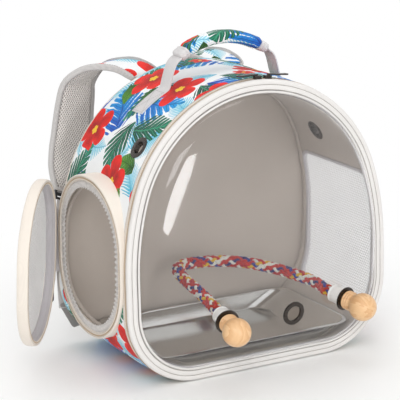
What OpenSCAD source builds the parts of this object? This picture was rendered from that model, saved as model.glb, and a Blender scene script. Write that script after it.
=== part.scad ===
// Soft-sided bird travel carrier, worn as a backpack or carried by its handle.
// Millimetres, +Z up, -Y is the front with the clear window, -X is the side with the round door.
// The origin is the middle of the flat base, on the ground.

/* [Body] */
// Height of the body over the top of its arch
carrier_h = 370; // [350:1:450]
// Width of the body across its straight sides
carrier_w = 380; // [350:1:460]
// Depth of the body along its base, from the window's zip to the back seam
carrier_d = 196; // [180:1:240]
// How far the front leans back, in degrees
front_lean = 2.3; // [0:0.1:3]
// How far the back leans forward, in degrees
back_lean = 2.9; // [0:0.1:3]
// Radius of the two lower corners
corner_r = 95; // [80:1:95]
// How much smaller the arch's radius is than half the width
arch_inset = 7; // [5:1:12]
// Height over which the sides curve in below the centre of the arch
side_rise = 47; // [40:1:50]
// Thickness of the padded wall
wall = 5; // [4:0.5:6]
// Thickness of the stiff board in the base
board_t = 3; // [2:0.5:4]
// Thickness of the pad on the wearer's side
back_pad_t = 8; // [5:1:10]
// How far the back pad stays inside the outline
back_pad_inset = 26; // [20:1:34]
// Diameter of the piping along the back seam
piping_d = 4; // [3:0.5:5]

/* [Front window] */
// Width of the fixed zip tape round the front edge of the body
zip_tape_w = 7; // [5:1:10]
// Depth of the window's padded border in front of the zip
border_d = 8; // [6:1:10]
// Width of the window's padded border, seen from the front
border_w = 14; // [12:1:18]
// Width of the thin piping inside the border
seam_w = 3; // [2:1:4]
// How far the clear window stands out at its crown
crown_h = 52; // [46:1:56]
// Radius of the crown of the clear window
crown_r = 500; // [480:10:560]
// Height of the middle of the crown
crown_z = 165; // [150:1:180]
// Thickness of the clear sheet
clear_t = 1; // [0.8:0.1:1.5]
// Places of the three eyelets across the window
eyelet_x = [-70, 25, 112]; // [-130:1:130]
// Heights of the three eyelets
eyelet_z = [79, 75, 77]; // [60:1:110]
// Radius of an eyelet's hole
eyelet_r = 10; // [8:0.5:12]
// Width of an eyelet's flange
eyelet_flange = 5.5; // [4:0.5:7]

/* [Perch] */
// Diameter of the braided rope
rope_d = 16; // [12:1:18]
// Radius of the white end caps
cap_r = 11.5; // [10:0.5:13]
// Length of the white end caps
cap_l = 20; // [14:1:26]
// Radius of the threaded stud through the eyelet
stud_r = 3; // [2.5:0.5:4]
// Radius of the wooden knob's round head
knob_r = 18; // [15:0.5:20]
// Radius of the wooden knob's ribbed neck
neck_r = 12.5; // [11.5:0.5:14]
// Length of the wooden knob's ribbed neck
neck_l = 14; // [10:1:18]

/* [Tray] */
// Width of the steel tray over its rim
tray_w = 304; // [280:1:306]
// Depth of the steel tray over its rim
tray_d = 178; // [150:1:180]
// Height of the tray
tray_h = 24; // [18:1:28]
// Thickness of the sheet
tray_t = 1; // [0.8:0.1:1.5]
// Width of the flat rim
tray_rim = 5; // [4:0.5:8]
// How far each end wall slopes outwards
tray_slope = 36; // [28:1:40]

/* [Side door] */
// Half the width of the round side door
door_hw = 88; // [80:1:88]
// Half the height of the round side door
door_hh = 104; // [90:1:104]
// Corner radius of the door's outline
door_r = 85; // [60:1:87]
// Height of the middle of the door
door_z = 149; // [145:1:160]
// How far forward of the middle of the base the door sits
door_y = -1; // [-4:1:2]
// How far the collar's rim stands outside the straight side
collar_out = 4; // [3:1:8]
// Width of the collar's zip tape
collar_w = 8; // [6:1:10]
// Depth of the door's own wall
door_d = 14; // [10:1:18]
// Thickness of the door's wall
door_wall = 3; // [2:0.5:4]
// How far the door stands open, in degrees
door_open = 37; // [0:1:60]
// Length of the fabric hinge
hinge_l = 82; // [60:1:96]

/* [Side mesh] */
// Height of the top edge of the mesh on the other side
mesh_top = 229; // [200:1:240]
// Height of the bottom edge of the mesh
mesh_bottom = 44; // [40:1:60]
// Width of the mesh window
mesh_w = 158; // [130:1:160]

/* [Handle] */
// Rise of the grip's centre line over the top of the arch
handle_rise = 41; // [36:1:60]
// Radius of the curve of the grip
grip_curve = 108; // [90:1:130]
// Half the angle that the grip covers, in degrees
grip_half = 30; // [24:1:34]
// Width of the padded grip
grip_w = 28; // [24:1:34]
// Thickness of the padded grip
grip_t = 17; // [14:1:20]
// Width of the webbing
web_w = 25; // [20:1:30]
// Thickness of the webbing
web_t = 2.4; // [1.6:0.1:3]

/* [Shoulder straps] */
// Width of a padded strap
strap_w = 60; // [50:1:70]
// Thickness of a padded strap
strap_t = 9; // [6:1:12]

/* [Hidden] */
$fn = 96;

// Clearances
eps = 0.01;
gap = 0.3;
run_gap = 0.05;
far = 600;

// The outline: a flat base, round lower corners, straight sides, side arcs and one arch
half_w = carrier_w / 2;
half_d = carrier_d / 2;
arch_r = half_w - arch_inset;
arch_z = carrier_h - arch_r;
side_z = arch_z - side_rise;
side_r = (half_w * half_w + side_rise * side_rise - arch_r * arch_r) / (2 * arch_inset);
side_a = atan2(side_rise, side_r - half_w);
lower_r = min(corner_r, side_z);

// Colours
print_c = [0.93, 0.95, 0.96];
cream = [0.90, 0.87, 0.82];
taupe = [0.63, 0.59, 0.55];
grey = [0.80, 0.79, 0.80];
pale = [0.90, 0.90, 0.90];
steel = [0.72, 0.72, 0.72];
gunmetal = [0.16, 0.15, 0.15];
black = [0.05, 0.05, 0.05];
wood = [0.88, 0.72, 0.50];

// Each arc keeps its centre and its angles at every inset, so that nested outlines stay parallel
lower_steps = 18;
side_steps = 3;
arch_steps = 30;

function arc(x, z, r, from, to, steps, first = 0) = [for (i = [first:steps])
    let (a = from + (to - from) * i / steps) [x + r * cos(a), z + r * sin(a)]];
module outline(inset = 0) {
    foot = half_w - lower_r;
    side_x = half_w - side_r;
    polygon(concat(
        arc(foot, lower_r, lower_r - inset, -90, 0, lower_steps),
        arc(side_x, side_z, side_r - inset, 0, side_a, side_steps),
        arc(0, arch_z, arch_r - inset, side_a, 180 - side_a, arch_steps, 1),
        arc(-side_x, side_z, side_r - inset, 180 - side_a, 180, side_steps, 1),
        arc(-foot, lower_r, lower_r - inset, 180, 270, lower_steps)));
}

// A rectangle with round corners, as one exact outline
module rounded(half_x, half_y, r) {
    square([2 * half_x, 2 * (half_y - r)], center = true);
    square([2 * (half_x - r), 2 * half_y], center = true);
    for (sx = [-1, 1], sy = [-1, 1])
        translate([sx * (half_x - r), sy * (half_y - r)]) circle(r);
}

// Stands a flat shape up in the XZ plane and gives it a depth from y_low to y_high
module upright(y_low, y_high) {
    translate([0, y_high, 0]) rotate([90, 0, 0]) linear_extrude(y_high - y_low) children();
}

// Local frames of the two leaning faces: their own -Y and +Y point outwards
module on_front() {
    translate([0, -half_d, 0]) rotate([-front_lean, 0, 0]) children();
}
module on_back() {
    translate([0, half_d, 0]) rotate([back_lean, 0, 0]) children();
}

// All the space between the leaning faces, less a margin inside each
module between_faces(front_margin = 0, back_margin = 0) {
    difference() {
        translate([-far, -far, -far]) cube(2 * far);
        on_front() translate([-far, front_margin - 2 * far, -far]) cube(2 * far);
        on_back() translate([-far, -back_margin, -far]) cube(2 * far);
    }
}

// A flat shape of (y, z) given a width along X, from x_low to x_high
module sideways(x_low, x_high) {
    translate([x_low, 0, 0]) rotate([90, 0, 90]) linear_extrude(x_high - x_low) children();
}

// The two eyelets in the wall, each at its own angle from the top of the arch
vent_a = [-54, 63];
vent_y = [-54, 19];
vent_hole_r = 8;
vent_flange = 6.5;
vent_low = -wall - 1.6;
vent_high = 1.1;

module at_vent(i) {
    translate([0, vent_y[i], arch_z]) rotate([0, vent_a[i], 0]) translate([0, 0, arch_r]) children();
}

// A barrel round a hole with a flange on each side of the sheet
barrel_t = 2;
flange_t = 0.8;
module eyelet(hole_r, flange, low, high) {
    rotate_extrude() {
        translate([hole_r, low]) square([barrel_t, high - low]);
        translate([hole_r, high - flange_t]) square([flange, flange_t]);
        translate([hole_r, low]) square([flange, flange_t]);
    }
}

// Padding, tapes and bindings that more than one piece rests on
panel_t = 4;
zip_tape_t = 4;
strip_t = 1;

// ---- body ----

door_cut_hw = door_hw - 12;
door_cut_hh = door_hh - 12;
door_cut_r = door_r - 10;

module body_gusset() {
    color(print_c) difference() {
        intersection() {
            difference() {
                upright(-half_d - 20, half_d + 20) outline();
                upright(-half_d - 30, half_d + 30) outline(wall);
            }
            between_faces(zip_tape_w, 0);
        }
        sideways(-half_w - 10, -half_w / 2) translate([door_y, door_z])
            rounded(door_cut_hw, door_cut_hh, door_cut_r);
        sideways(half_w / 2, half_w + 10) mesh_outline(0);
        for (i = [0, 1])
            at_vent(i) cylinder(h = 40, r = vent_hole_r + barrel_t + 0.1, center = true);
    }
}

module mesh_outline(margin) {
    translate([0, (mesh_top + mesh_bottom) / 2])
        rounded(mesh_w / 2 + margin, (mesh_top - mesh_bottom) / 2 + margin, 18 + margin);
}

module back_panel() {
    color(taupe) on_back() upright(-panel_t, 0) outline(wall + gap);
}

module back_pad() {
    color(grey) on_back() upright(gap, back_pad_t) outline(back_pad_inset);
}

module back_piping() {
    color(cream) on_back() upright(0, piping_d) difference() {
        outline(0);
        outline(wall);
    }
}

module inner_seam_binding() {
    binding_w = 7;
    binding_t = 2;
    color(taupe) on_back() upright(-panel_t - binding_w, -panel_t) difference() {
        outline(wall + gap);
        outline(wall + gap + binding_t);
        translate([-far, -far]) square([2 * far, far + wall + board_t + tray_h + 12]);
    }
}

module base_board() {
    board_margin = 12;
    color(taupe) translate([0, 0, wall + board_t / 2])
        cube([2 * (half_w - lower_r), carrier_d - 2 * board_margin, board_t], center = true);
}

module front_zip_tape() {
    color(cream) on_front() upright(0, zip_tape_w) difference() {
        outline(0);
        outline(zip_tape_t);
    }
}

module side_mesh() {
    color(pale) intersection() {
        difference() {
            upright(-half_d, half_d) outline(wall / 2 - 0.6);
            upright(-half_d - 1, half_d + 1) outline(wall / 2 + 0.6);
        }
        sideways(half_w / 2, half_w + 10) mesh_outline(-gap);
    }
}

module left_vent_eyelet() {
    color(gunmetal) at_vent(0) eyelet(vent_hole_r, vent_flange, vent_low, vent_high);
}
module right_vent_eyelet() {
    color(gunmetal) at_vent(1) eyelet(vent_hole_r, vent_flange, vent_low, vent_high);
}

module door_outline(inset) {
    translate([door_y, door_z]) rounded(door_hw - inset, door_hh - inset, door_r - inset);
}

collar_x = -(half_w + collar_out);

module door_collar() {
    color(cream) difference() {
        sideways(collar_x, collar_x + 60) difference() {
            door_outline(0);
            door_outline(collar_w);
        }
        upright(-half_d - 20, half_d + 20) outline(0);
    }
}

module door_ruffle() {
    ruffle_w = 9;
    ruffle_t = 3;
    color(pale) sideways(collar_x + 1, collar_x + 1 + ruffle_t) difference() {
        door_outline(collar_w);
        door_outline(collar_w + ruffle_w);
    }
}

// The door turns about a line just behind its back edge, which leans as the soft hinge sags
hinge_point = [collar_x - 3, door_y + door_hw + 1.5, door_z];
hinge_axis = [0.086, 0.051, -1];

module opened() {
    translate(hinge_point) rotate(door_open, hinge_axis) translate(-hinge_point) children();
}

module door_hinge_strip() {
    sag_room = 1.6;
    color(grey) sideways(hinge_point[0] + sag_room, -half_w - gap)
        translate([door_y + door_hw + gap, door_z - hinge_l / 2]) square([strip_t, hinge_l]);
}

door_face_x = collar_x - 0.5;

module door_wall() {
    color(cream) opened() sideways(door_face_x - door_d, door_face_x) difference() {
        door_outline(0);
        door_outline(door_wall);
    }
}

module door_lining() {
    lining_t = 1;
    color(grey) opened() sideways(door_face_x - door_d + 3, door_face_x - 2) difference() {
        door_outline(door_wall + 0.05);
        door_outline(door_wall + lining_t);
    }
}

module door_mesh() {
    color(pale) opened() sideways(door_face_x - door_d, door_face_x - door_d + 2)
        door_outline(door_wall + 0.05);
}

module door_zip_tape() {
    tape_w = 6;
    tape_t = 1.4;
    color(cream) opened() sideways(door_face_x - tape_t, door_face_x) difference() {
        door_outline(door_wall + 0.05);
        door_outline(tape_w);
    }
}

slider_l = 11;
slider_w = 9;
slider_t = 4;
pull_l = 30;
pull_w = 8;
pull_t = 1.8;

// The slider straddles the zip line below the fabric hinge, where it leans with the door's outline
slider_drop = hinge_l / 2 + slider_l / 2 + 3;
slider_lean = asin(max(0, slider_drop - (door_hh - door_r)) / door_r);
module at_door_slider() {
    translate([door_face_x - slider_w / 2 - gap, door_y + door_hw - door_r * (1 - cos(slider_lean)),
        door_z - slider_drop]) rotate([-slider_lean, 0, 0]) children();
}

module door_zip_slider() {
    color(black) opened() at_door_slider()
        translate([-slider_w / 2, gap, -slider_l / 2]) cube([slider_w, slider_t, slider_l]);
}

module door_zip_pull() {
    color(black) opened() at_door_slider()
        translate([0, slider_t + 2 * gap, -2]) rotate([-90, 0, 0]) pull_shape();
}

// A pull: a narrow neck at the pin and a wide round end, lying flat, pointing along its own +Y
module pull_shape() {
    neck_w = 4;
    linear_extrude(pull_t) difference() {
        union() {
            translate([0, pull_l - pull_w / 2]) circle(pull_w / 2);
            polygon([[-neck_w / 2, 0], [neck_w / 2, 0], [pull_w / 2, pull_l - pull_w / 2],
                [-pull_w / 2, pull_l - pull_w / 2]]);
        }
        translate([0, pull_l - pull_w / 2]) circle(1.6);
    }
}

// ---- window ----
// All of it is set out in the leaning frame of the front and swings on the front edge of its border.

dome_inset = border_w + seam_w + gap;
dome_y = -crown_h + crown_r;

module window_border() {
    color(cream) on_front() upright(-border_d, -gap) difference() {
        outline(0);
        outline(border_w);
    }
}

module window_seam_piping() {
    color(cream) on_front() upright(-border_d - 1, -border_d + 4) difference() {
        outline(border_w);
        outline(border_w + seam_w);
    }
}

// Puts a shape on the clear sheet, with its own +Z pointing straight out of the sheet
function dome_depth(x, z) = sqrt(crown_r * crown_r - x * x - (z - crown_z) * (z - crown_z));
module at_eyelet(i) {
    x = eyelet_x[i];
    z = eyelet_z[i];
    depth = dome_depth(x, z);
    on_front() translate([x, dome_y - depth, z])
        rotate([90 - asin((z - crown_z) / crown_r), 0, atan2(x, depth)]) children();
}

// The room under a ball, bounded by the outline: its mesh follows the crown of the clear sheet
module crown_block(inset, r, y_high) {
    hull() intersection() {
        upright(-crown_h - 10, y_high) outline(inset);
        translate([0, dome_y, crown_z]) sphere(r);
    }
}

module window_clear() {
    rim_y = -3;
    color([0.9, 0.95, 1, 0.3]) difference() {
        on_front() crown_block(dome_inset, crown_r, rim_y);
        on_front() crown_block(dome_inset + clear_t, crown_r - clear_t, rim_y + 10);
        for (i = [0:2])
            at_eyelet(i) cylinder(h = 30, r = eyelet_r + barrel_t + 0.1, center = true);
    }
}

eyelet_low = -clear_t - flange_t - 0.8;
eyelet_high = 0.8;
module window_eyelet(i) {
    color(gunmetal) at_eyelet(i) eyelet(eyelet_r, eyelet_flange, eyelet_low, eyelet_high);
}
module window_eyelet_left() { window_eyelet(0); }
module window_eyelet_middle() { window_eyelet(1); }
module window_eyelet_right() { window_eyelet(2); }

module window_hinge_strip() {
    color(grey) on_front() translate([-(half_w - lower_r), gap, zip_tape_t + gap])
        cube([2 * (half_w - lower_r), zip_tape_w - gap, strip_t]);
}

// ---- perch ----

stud_l = 22;
cap_face = eyelet_low - gap;

module perch_cap(i) {
    // White cap on the rope's end, a boss that fills the eyelet, and the threaded stud
    color(pale) at_eyelet(i) difference() {
        union() {
            translate([0, 0, cap_face - cap_l]) cylinder(h = cap_l, r = cap_r);
            translate([0, 0, cap_face - eps]) cylinder(h = eyelet_high - cap_face, r = eyelet_r - gap);
            cylinder(h = stud_l, r = stud_r);
        }
        translate([0, 0, cap_face - cap_l - 1]) cylinder(h = rope_socket + 1, r = rope_d / 2);
    }
}
module perch_cap_left() { perch_cap(0); }
module perch_cap_right() { perch_cap(2); }

module perch_knob(i) {
    neck_z = eyelet_high + 0.5;
    rib_r = 1.2;
    ribs = 3;
    rib_step = neck_l / (ribs + 1);
    head_z = neck_z + neck_l + knob_r * 0.8;
    color(wood) at_eyelet(i) difference() {
        union() {
            translate([0, 0, neck_z]) cylinder(h = neck_l + 6, r = neck_r - rib_r);
            for (n = [0:ribs - 1])
                translate([0, 0, neck_z + rib_step * (n + 0.3)]) cylinder(h = rib_step * 0.6, r = neck_r);
            translate([0, 0, head_z]) sphere(knob_r);
        }
        translate([0, 0, neck_z - 1]) cylinder(h = stud_l - neck_z + 2, r = stud_r + run_gap);
    }
}
module perch_knob_left() { perch_knob(0); }
module perch_knob_right() { perch_knob(2); }

// A point on an eyelet's axis, counted outwards from the clear sheet
function leaned(p) = [p[0],
    p[1] * cos(front_lean) + p[2] * sin(front_lean) - half_d,
    p[2] * cos(front_lean) - p[1] * sin(front_lean)];
function eyelet_point(i, out) =
    let (x = eyelet_x[i], z = eyelet_z[i], k = 1 + out / crown_r)
    leaned([x * k, dome_y - dome_depth(x, z) * k, crown_z + (z - crown_z) * k]);

// The rope's route: out of one cap, round the perch and into the other cap
rope_socket = 8;
rope_straight = [0, rope_socket, rope_socket + rope_d * 0.8];
rope_bend = [[-62, -62, 92], [-60, -20, 98], [-56, 12, 101], [-46, 34, 102], [-28, 46, 101], [0, 50, 99],
    [30, 44, 97], [54, 30, 95], [76, 6, 92], [92, -26, 89], [102, -62, 87]];
rope_route = concat(
    [for (out = rope_straight) eyelet_point(0, cap_face - cap_l + rope_socket - gap - out)],
    rope_bend,
    [for (i = [len(rope_straight) - 1:-1:0])
        eyelet_point(2, cap_face - cap_l + rope_socket - gap - rope_straight[i])]);

module perch_rope() {
    color([0.8, 0.25, 0.25]) tube(smooth(rope_route, 2), rope_d / 2 - eps, 10);
}

// ---- swept shapes ----

function unit(v) = v / norm(v);
function at_least(i, n) = max(0, min(n - 1, i));
function tangent(p, i) = unit(p[at_least(i + 1, len(p))] - p[at_least(i - 1, len(p))]);

// A smooth curve through the points, with so many steps between two of them
function curve_point(a, b, c, d, t) = 0.5 * ((2 * b) + (c - a) * t + (2 * a - 5 * b + 4 * c - d) * t * t
    + (3 * b - a - 3 * c + d) * t * t * t);
function smooth(p, steps) = concat(
    [for (i = [0:len(p) - 2], s = [0:steps - 1])
        curve_point(p[at_least(i - 1, len(p))], p[i], p[i + 1], p[at_least(i + 2, len(p))], s / steps)],
    [p[len(p) - 1]]);

// A sideways direction that is carried along the path without twisting
function carried(p, side, i = 1, done = []) = i == 0 ? [] :
    len(done) == 0 ? carried(p, side, 1, [unit(side - (side * tangent(p, 0)) * tangent(p, 0))]) :
    i == len(p) ? done :
    let (last = done[i - 1], t = tangent(p, i))
    carried(p, side, i + 1, concat(done, [unit(last - (last * t) * t)]));

module skin(rings) {
    // Closes a stack of rings of points into one solid, with a fan at each end
    n = len(rings[0]);
    m = len(rings);
    points = [for (r = rings, p = r) p];
    sides = [for (i = [0:m - 2], j = [0:n - 1], k = [0, 1])
        let (a = i * n + j, b = i * n + (j + 1) % n)
        k == 0 ? [a, b, b + n] : [a, b + n, a + n]];
    start = [for (j = [1:n - 2]) [0, j + 1, j]];
    finish = [for (j = [1:n - 2]) [(m - 1) * n, (m - 1) * n + j, (m - 1) * n + j + 1]];
    polyhedron(points = points, faces = concat(sides, start, finish));
}

module tube(path, r, sides) {
    right = carried(path, [1, 0.3, 0.2]);
    skin([for (i = [0:len(path) - 1])
        let (t = tangent(path, i), u = right[i], v = cross(t, u))
        [for (j = [0:sides - 1])
            path[i] + r * cos(-360 * j / sides) * u + r * sin(-360 * j / sides) * v]]);
}

// A flat band: each station has its middle, its width, its thickness and its heading across
module band(stations) {
    path = [for (s = stations) s[0]];
    skin([for (i = [0:len(stations) - 1])
        let (s = stations[i], t = tangent(path, i),
            across = unit([cos(s[3]), sin(s[3]), 0] - ([cos(s[3]), sin(s[3]), 0] * t) * t),
            up = cross(across, t), w = s[1] / 2, h = s[2] / 2, r = min(w, h) * 0.6)
        [for (c = [[-w + r, -h], [w - r, -h], [w, -h + r], [w, h - r],
            [w - r, h], [-w + r, h], [-w, h - r], [-w, -h + r]])
            s[0] + c[0] * across + c[1] * up]]);
}

// ---- tray ----

tray_y = -3;
tray_z = wall + board_t + gap;
tray_corner = 26;

module tray_block(inset, bottom, top) {
    // The pan's outside or inside: end walls slope, front and back stand upright, corners are round
    top_hw = tray_w / 2 - tray_rim - inset;
    low_hw = top_hw - tray_slope;
    intersection() {
        upright(-half_d, half_d)
            polygon([[-low_hw, bottom], [low_hw, bottom], [top_hw, top], [-top_hw, top]]);
        translate([0, tray_y, 0]) linear_extrude(tray_z + tray_h)
            rounded(top_hw, tray_d / 2 - tray_rim - inset, tray_corner - inset);
    }
}

module steel_tray() {
    top = tray_z + tray_h;
    color(steel) difference() {
        union() {
            tray_block(0, tray_z, top);
            translate([0, tray_y, top - tray_t]) linear_extrude(tray_t)
                rounded(tray_w / 2, tray_d / 2, tray_corner + tray_rim);
        }
        tray_block_inside(top);
    }
}

module tray_block_inside(top) {
    top_hw = tray_w / 2 - tray_rim - tray_t;
    low_hw = top_hw - tray_slope;
    slope = tray_slope / tray_h;
    intersection() {
        upright(-half_d, half_d) polygon([[-low_hw, tray_z + tray_t], [low_hw, tray_z + tray_t],
            [top_hw + slope, top + 1], [-top_hw - slope, top + 1]]);
        translate([0, tray_y, 0]) linear_extrude(top + 1)
            rounded(top_hw, tray_d / 2 - tray_rim - tray_t, tray_corner - tray_t);
    }
}

// ---- window zip sliders ----
// The two sliders meet just right of the middle of the arch, on the zip's line.

zip_meet = 3.1;
zip_half = 2.3;

module on_zip(angle) {
    on_front() translate([0, -gap / 2, arch_z]) rotate([0, angle, 0]) translate([0, 0, arch_r]) children();
}

module zip_slider(angle) {
    color(gunmetal) on_zip(angle) translate([0, 0, gap]) difference() {
        translate([-slider_l / 2, -slider_w / 2, 0]) cube([slider_l, slider_w, slider_t]);
        translate([-slider_l / 2 - 1, -slider_w / 2 - 1, 1.4]) cube([slider_l + 2, 3, 1.2]);
        translate([-slider_l / 2 - 1, slider_w / 2 - 2, 1.4]) cube([slider_l + 2, 3, 1.2]);
    }
}
module zip_slider_left() { zip_slider(zip_meet - zip_half); }
module zip_slider_right() { zip_slider(zip_meet + zip_half); }

// Each pull is pinned to the top of its slider and lies along the tape, away from the other slider
module zip_pull(angle, way) {
    color(gunmetal) on_zip(angle) translate([0, 0, gap + slider_t + gap])
        rotate([0, 0, way * 90]) pull_shape();
}
module zip_pull_left() { zip_pull(zip_meet - zip_half, 1); }
module zip_pull_right() { zip_pull(zip_meet + zip_half, -1); }

// ---- carrying handle ----

grip_z = carrier_h + handle_rise - grip_curve;
cuff_a = 6;
web_x = 80;
patch_low = 24.5;
patch_span = 17;
handle_top = arch_z + (arch_r + web_t) * cos(asin(web_x / (arch_r + web_t)));
neck_r_web = 3;
handle_pivot_z = handle_top + gap + neck_r_web + 0.6;

module grip_arc(from, span, w, t) {
    // A curved bar of rounded section, standing on the arc that the grip follows
    corner = t * 0.45;
    translate([0, 0, grip_z]) rotate([90, 0, 0]) rotate([0, 0, 90 - from - span])
        rotate_extrude(angle = span) translate([grip_curve, 0]) rounded(t / 2, w / 2, corner);
}

module handle_grip() {
    color(print_c) grip_arc(-grip_half, 2 * grip_half, grip_w, grip_t);
}
module handle_cuff_left() {
    color(pale) grip_arc(-grip_half - cuff_a, cuff_a, grip_w - 1, grip_t - 3);
}
module handle_cuff_right() {
    color(pale) grip_arc(grip_half, cuff_a, grip_w - 1, grip_t - 3);
}

// The webbing between a cuff and the body, as a bent strip that narrows at the stitching
module handle_web(side) {
    end_a = grip_half + cuff_a;
    end = [grip_curve * sin(end_a), grip_z + grip_curve * cos(end_a)];
    line = [end, end + 9 * [cos(end_a), -sin(end_a)], [web_x - 2, handle_pivot_z + 22],
        [web_x, handle_pivot_z + 12], [web_x, handle_pivot_z]];
    inner = strip_side(line, -web_t / 2);
    outer = strip_side(line, web_t / 2);
    outline_points = concat(inner, [for (i = [len(outer) - 1:-1:0]) outer[i]]);
    color(grey) mirror([side < 0 ? 1 : 0, 0, 0]) union() {
        intersection() {
            upright(-web_w / 2, web_w / 2) polygon(outline_points);
            sideways(0, carrier_w) polygon([[-neck_r_web, handle_pivot_z], [neck_r_web, handle_pivot_z],
                [web_w / 2, handle_pivot_z + 15], [web_w / 2, handle_pivot_z + far],
                [-web_w / 2, handle_pivot_z + far], [-web_w / 2, handle_pivot_z + 15]]);
        }
        sideways(web_x - web_t / 2, web_x + web_t / 2) translate([0, handle_pivot_z]) circle(neck_r_web);
    }
}
function strip_side(line, off) = [for (i = [0:len(line) - 1])
    let (d = unit(line[at_least(i + 1, len(line))] - line[at_least(i - 1, len(line))]))
    line[i] + off * [-d[1], d[0]]];
module handle_web_left() { handle_web(-1); }
module handle_web_right() { handle_web(1); }

// The webbing's end, sewn flat onto the body
module handle_patch(side) {
    color(grey) mirror([side < 0 ? 1 : 0, 0, 0]) translate([0, 0, arch_z]) rotate([90, 0, 0])
        rotate([0, 0, 90 - patch_low - patch_span]) rotate_extrude(angle = patch_span)
            translate([arch_r, -web_w / 2]) square([web_t, web_w]);
}
module handle_patch_left() { handle_patch(-1); }
module handle_patch_right() { handle_patch(1); }

// ---- shoulder straps ----
// Each station: middle of the pad, heading of its width in degrees, share of the full width.
// The middle is its distance left or right on a carrier whose half width is drawn_half_w, its distance
// out from the leaning back, and its height from the top of the arch.

drawn_half_w = 190;
function back_y(z, out) = half_d - z * tan(back_lean) + out;
function on_carrier(stations) = [for (s = stations)
    let (z = carrier_h + s[0][2])
    [[s[0][0] * half_w / drawn_half_w, back_y(z, s[0][1]), z], s[1], s[2]]];
strap_left_drawn = [[[-58, 10.48, -25], 4, 0.7], [[-61, 20.93, -16], 12, 0.85],
    [[-82, 39.39, -7], 26, 1], [[-108, 58.19, -11], 28, 1], [[-127, 71.12, -32], 18, 1],
    [[-132, 73.70, -60], 12, 1], [[-137, 70.18, -90], 8, 1], [[-146, 61.66, -120], 8, 0.97],
    [[-157, 48.50, -143], 10, 0.85], [[-164, 38.79, -157], 12, 0.65], [[-167, 33.33, -166], 12, 0.5]];
strap_right_drawn = [[[66, 6.73, -20], -2, 0.7], [[63, 20.08, -13], 4, 0.9], [[51, 41.44, -6], 10, 1],
    [[38, 60.34, -8], 12, 1], [[33, 72.32, -28], 6, 1], [[38, 75.91, -56], -4, 1],
    [[56, 72.39, -86], -12, 1], [[86, 64.92, -115], -14, 0.97], [[120, 51.70, -139], -14, 0.85],
    [[140, 41.99, -153], -12, 0.65], [[147, 35.49, -163], -12, 0.5]];
strap_left = on_carrier(strap_left_drawn);
strap_right = on_carrier(strap_right_drawn);

module strap_pad(stations) {
    color(taupe) band([for (s = stations) [s[0], strap_w * s[2], strap_t, s[1]]]);
}
module strap_pad_left() { strap_pad(strap_left); }
module strap_pad_right() { strap_pad(strap_right); }

// Below the pad: an adjuster buckle and a webbing that runs down to its tab on the lower corner
tab_x = half_w - 14;
tab_z = 46;
tab_t = 2.6;
buckle_w = 30;
buckle_h = 14;
buckle_t = 5;
strap_web_t = 1.6;
strap_web_w = web_w - 1;

function last(list) = list[len(list) - 1];
function strap_end(stations) = last(stations)[0];
function strap_heading(stations) = last(stations)[1];
function strap_way(stations) = unit(strap_end(stations) - stations[len(stations) - 2][0]);
foot_z = tab_z + 16.5;
function strap_foot(side) = [side * tab_x,
    back_y(foot_z, (piping_d + tab_t + 2.5 * gap + strap_web_t / 2) / cos(back_lean)), foot_z];

// Turns a shape so that its +Z runs along the end of a strap and its X lies across it
module at_strap_end(stations, out) {
    way = strap_way(stations);
    a = strap_heading(stations);
    across = unit([cos(a), sin(a), 0] - ([cos(a), sin(a), 0] * way) * way);
    up = cross(way, across);
    place = strap_end(stations) + out * way;
    multmatrix([[across[0], up[0], way[0], place[0]], [across[1], up[1], way[1], place[1]],
        [across[2], up[2], way[2], place[2]], [0, 0, 0, 1]]) children();
}

module strap_buckle(stations) {
    slot_h = 2.6;
    slot_pitch = 6;
    color(black) at_strap_end(stations, buckle_h / 2 + gap) difference() {
        cube([buckle_w, buckle_t, buckle_h], center = true);
        for (z = [-slot_pitch / 2, slot_pitch / 2])
            translate([0, 0, z]) cube([buckle_w - 6, buckle_t + 2, slot_h], center = true);
    }
}
module strap_buckle_left() { strap_buckle(strap_left); }
module strap_buckle_right() { strap_buckle(strap_right); }

module strap_web(side, stations) {
    foot = strap_foot(side);
    way = strap_way(stations);
    turn = acos(way * unit(foot - strap_end(stations)));
    top = strap_end(stations) + (buckle_h + 2 * gap + strap_web_w / 2 * sin(turn)) * way;
    slack = 6;
    color(grey) band([for (t = [0, 0.25, 0.5, 0.75, 1])
        [top + (foot - top) * t + [0, slack * sin(180 * t), 0], strap_web_w, strap_web_t,
            strap_heading(stations) * (1 - t)]]);
}
module strap_web_left() { strap_web(-1, strap_left); }
module strap_web_right() { strap_web(1, strap_right); }

module strap_tab(side) {
    // A folded piece of webbing sewn into the back seam at the lower corner
    color([0.6, 0.6, 0.6]) mirror([side < 0 ? 1 : 0, 0, 0]) on_back()
        upright(piping_d + gap, piping_d + gap + tab_t)
        polygon([[tab_x - 30, tab_z - 22], [tab_x - 8, tab_z - 26], [tab_x + 12, tab_z + 10],
            [tab_x - 14, tab_z + 16]]);
}
module strap_tab_left() { strap_tab(-1); }
module strap_tab_right() { strap_tab(1); }

body_gusset();
back_panel();
back_pad();
back_piping();
inner_seam_binding();
base_board();
front_zip_tape();
side_mesh();
left_vent_eyelet();
right_vent_eyelet();
door_collar();
door_ruffle();
door_hinge_strip();
handle_patch_left();
handle_patch_right();
strap_tab_left();
strap_tab_right();
window_hinge_strip();
window_border();
window_seam_piping();
window_clear();
window_eyelet_left();
window_eyelet_middle();
window_eyelet_right();
perch_rope();
perch_cap_left();
perch_cap_right();
perch_knob_left();
perch_knob_right();
steel_tray();
door_wall();
door_lining();
door_mesh();
door_zip_tape();
door_zip_slider();
door_zip_pull();
zip_slider_left();
zip_pull_left();
zip_slider_right();
zip_pull_right();
handle_grip();
handle_cuff_left();
handle_cuff_right();
handle_web_left();
handle_web_right();
strap_pad_left();
strap_pad_right();
strap_buckle_left();
strap_buckle_right();
strap_web_left();
strap_web_right();
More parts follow.
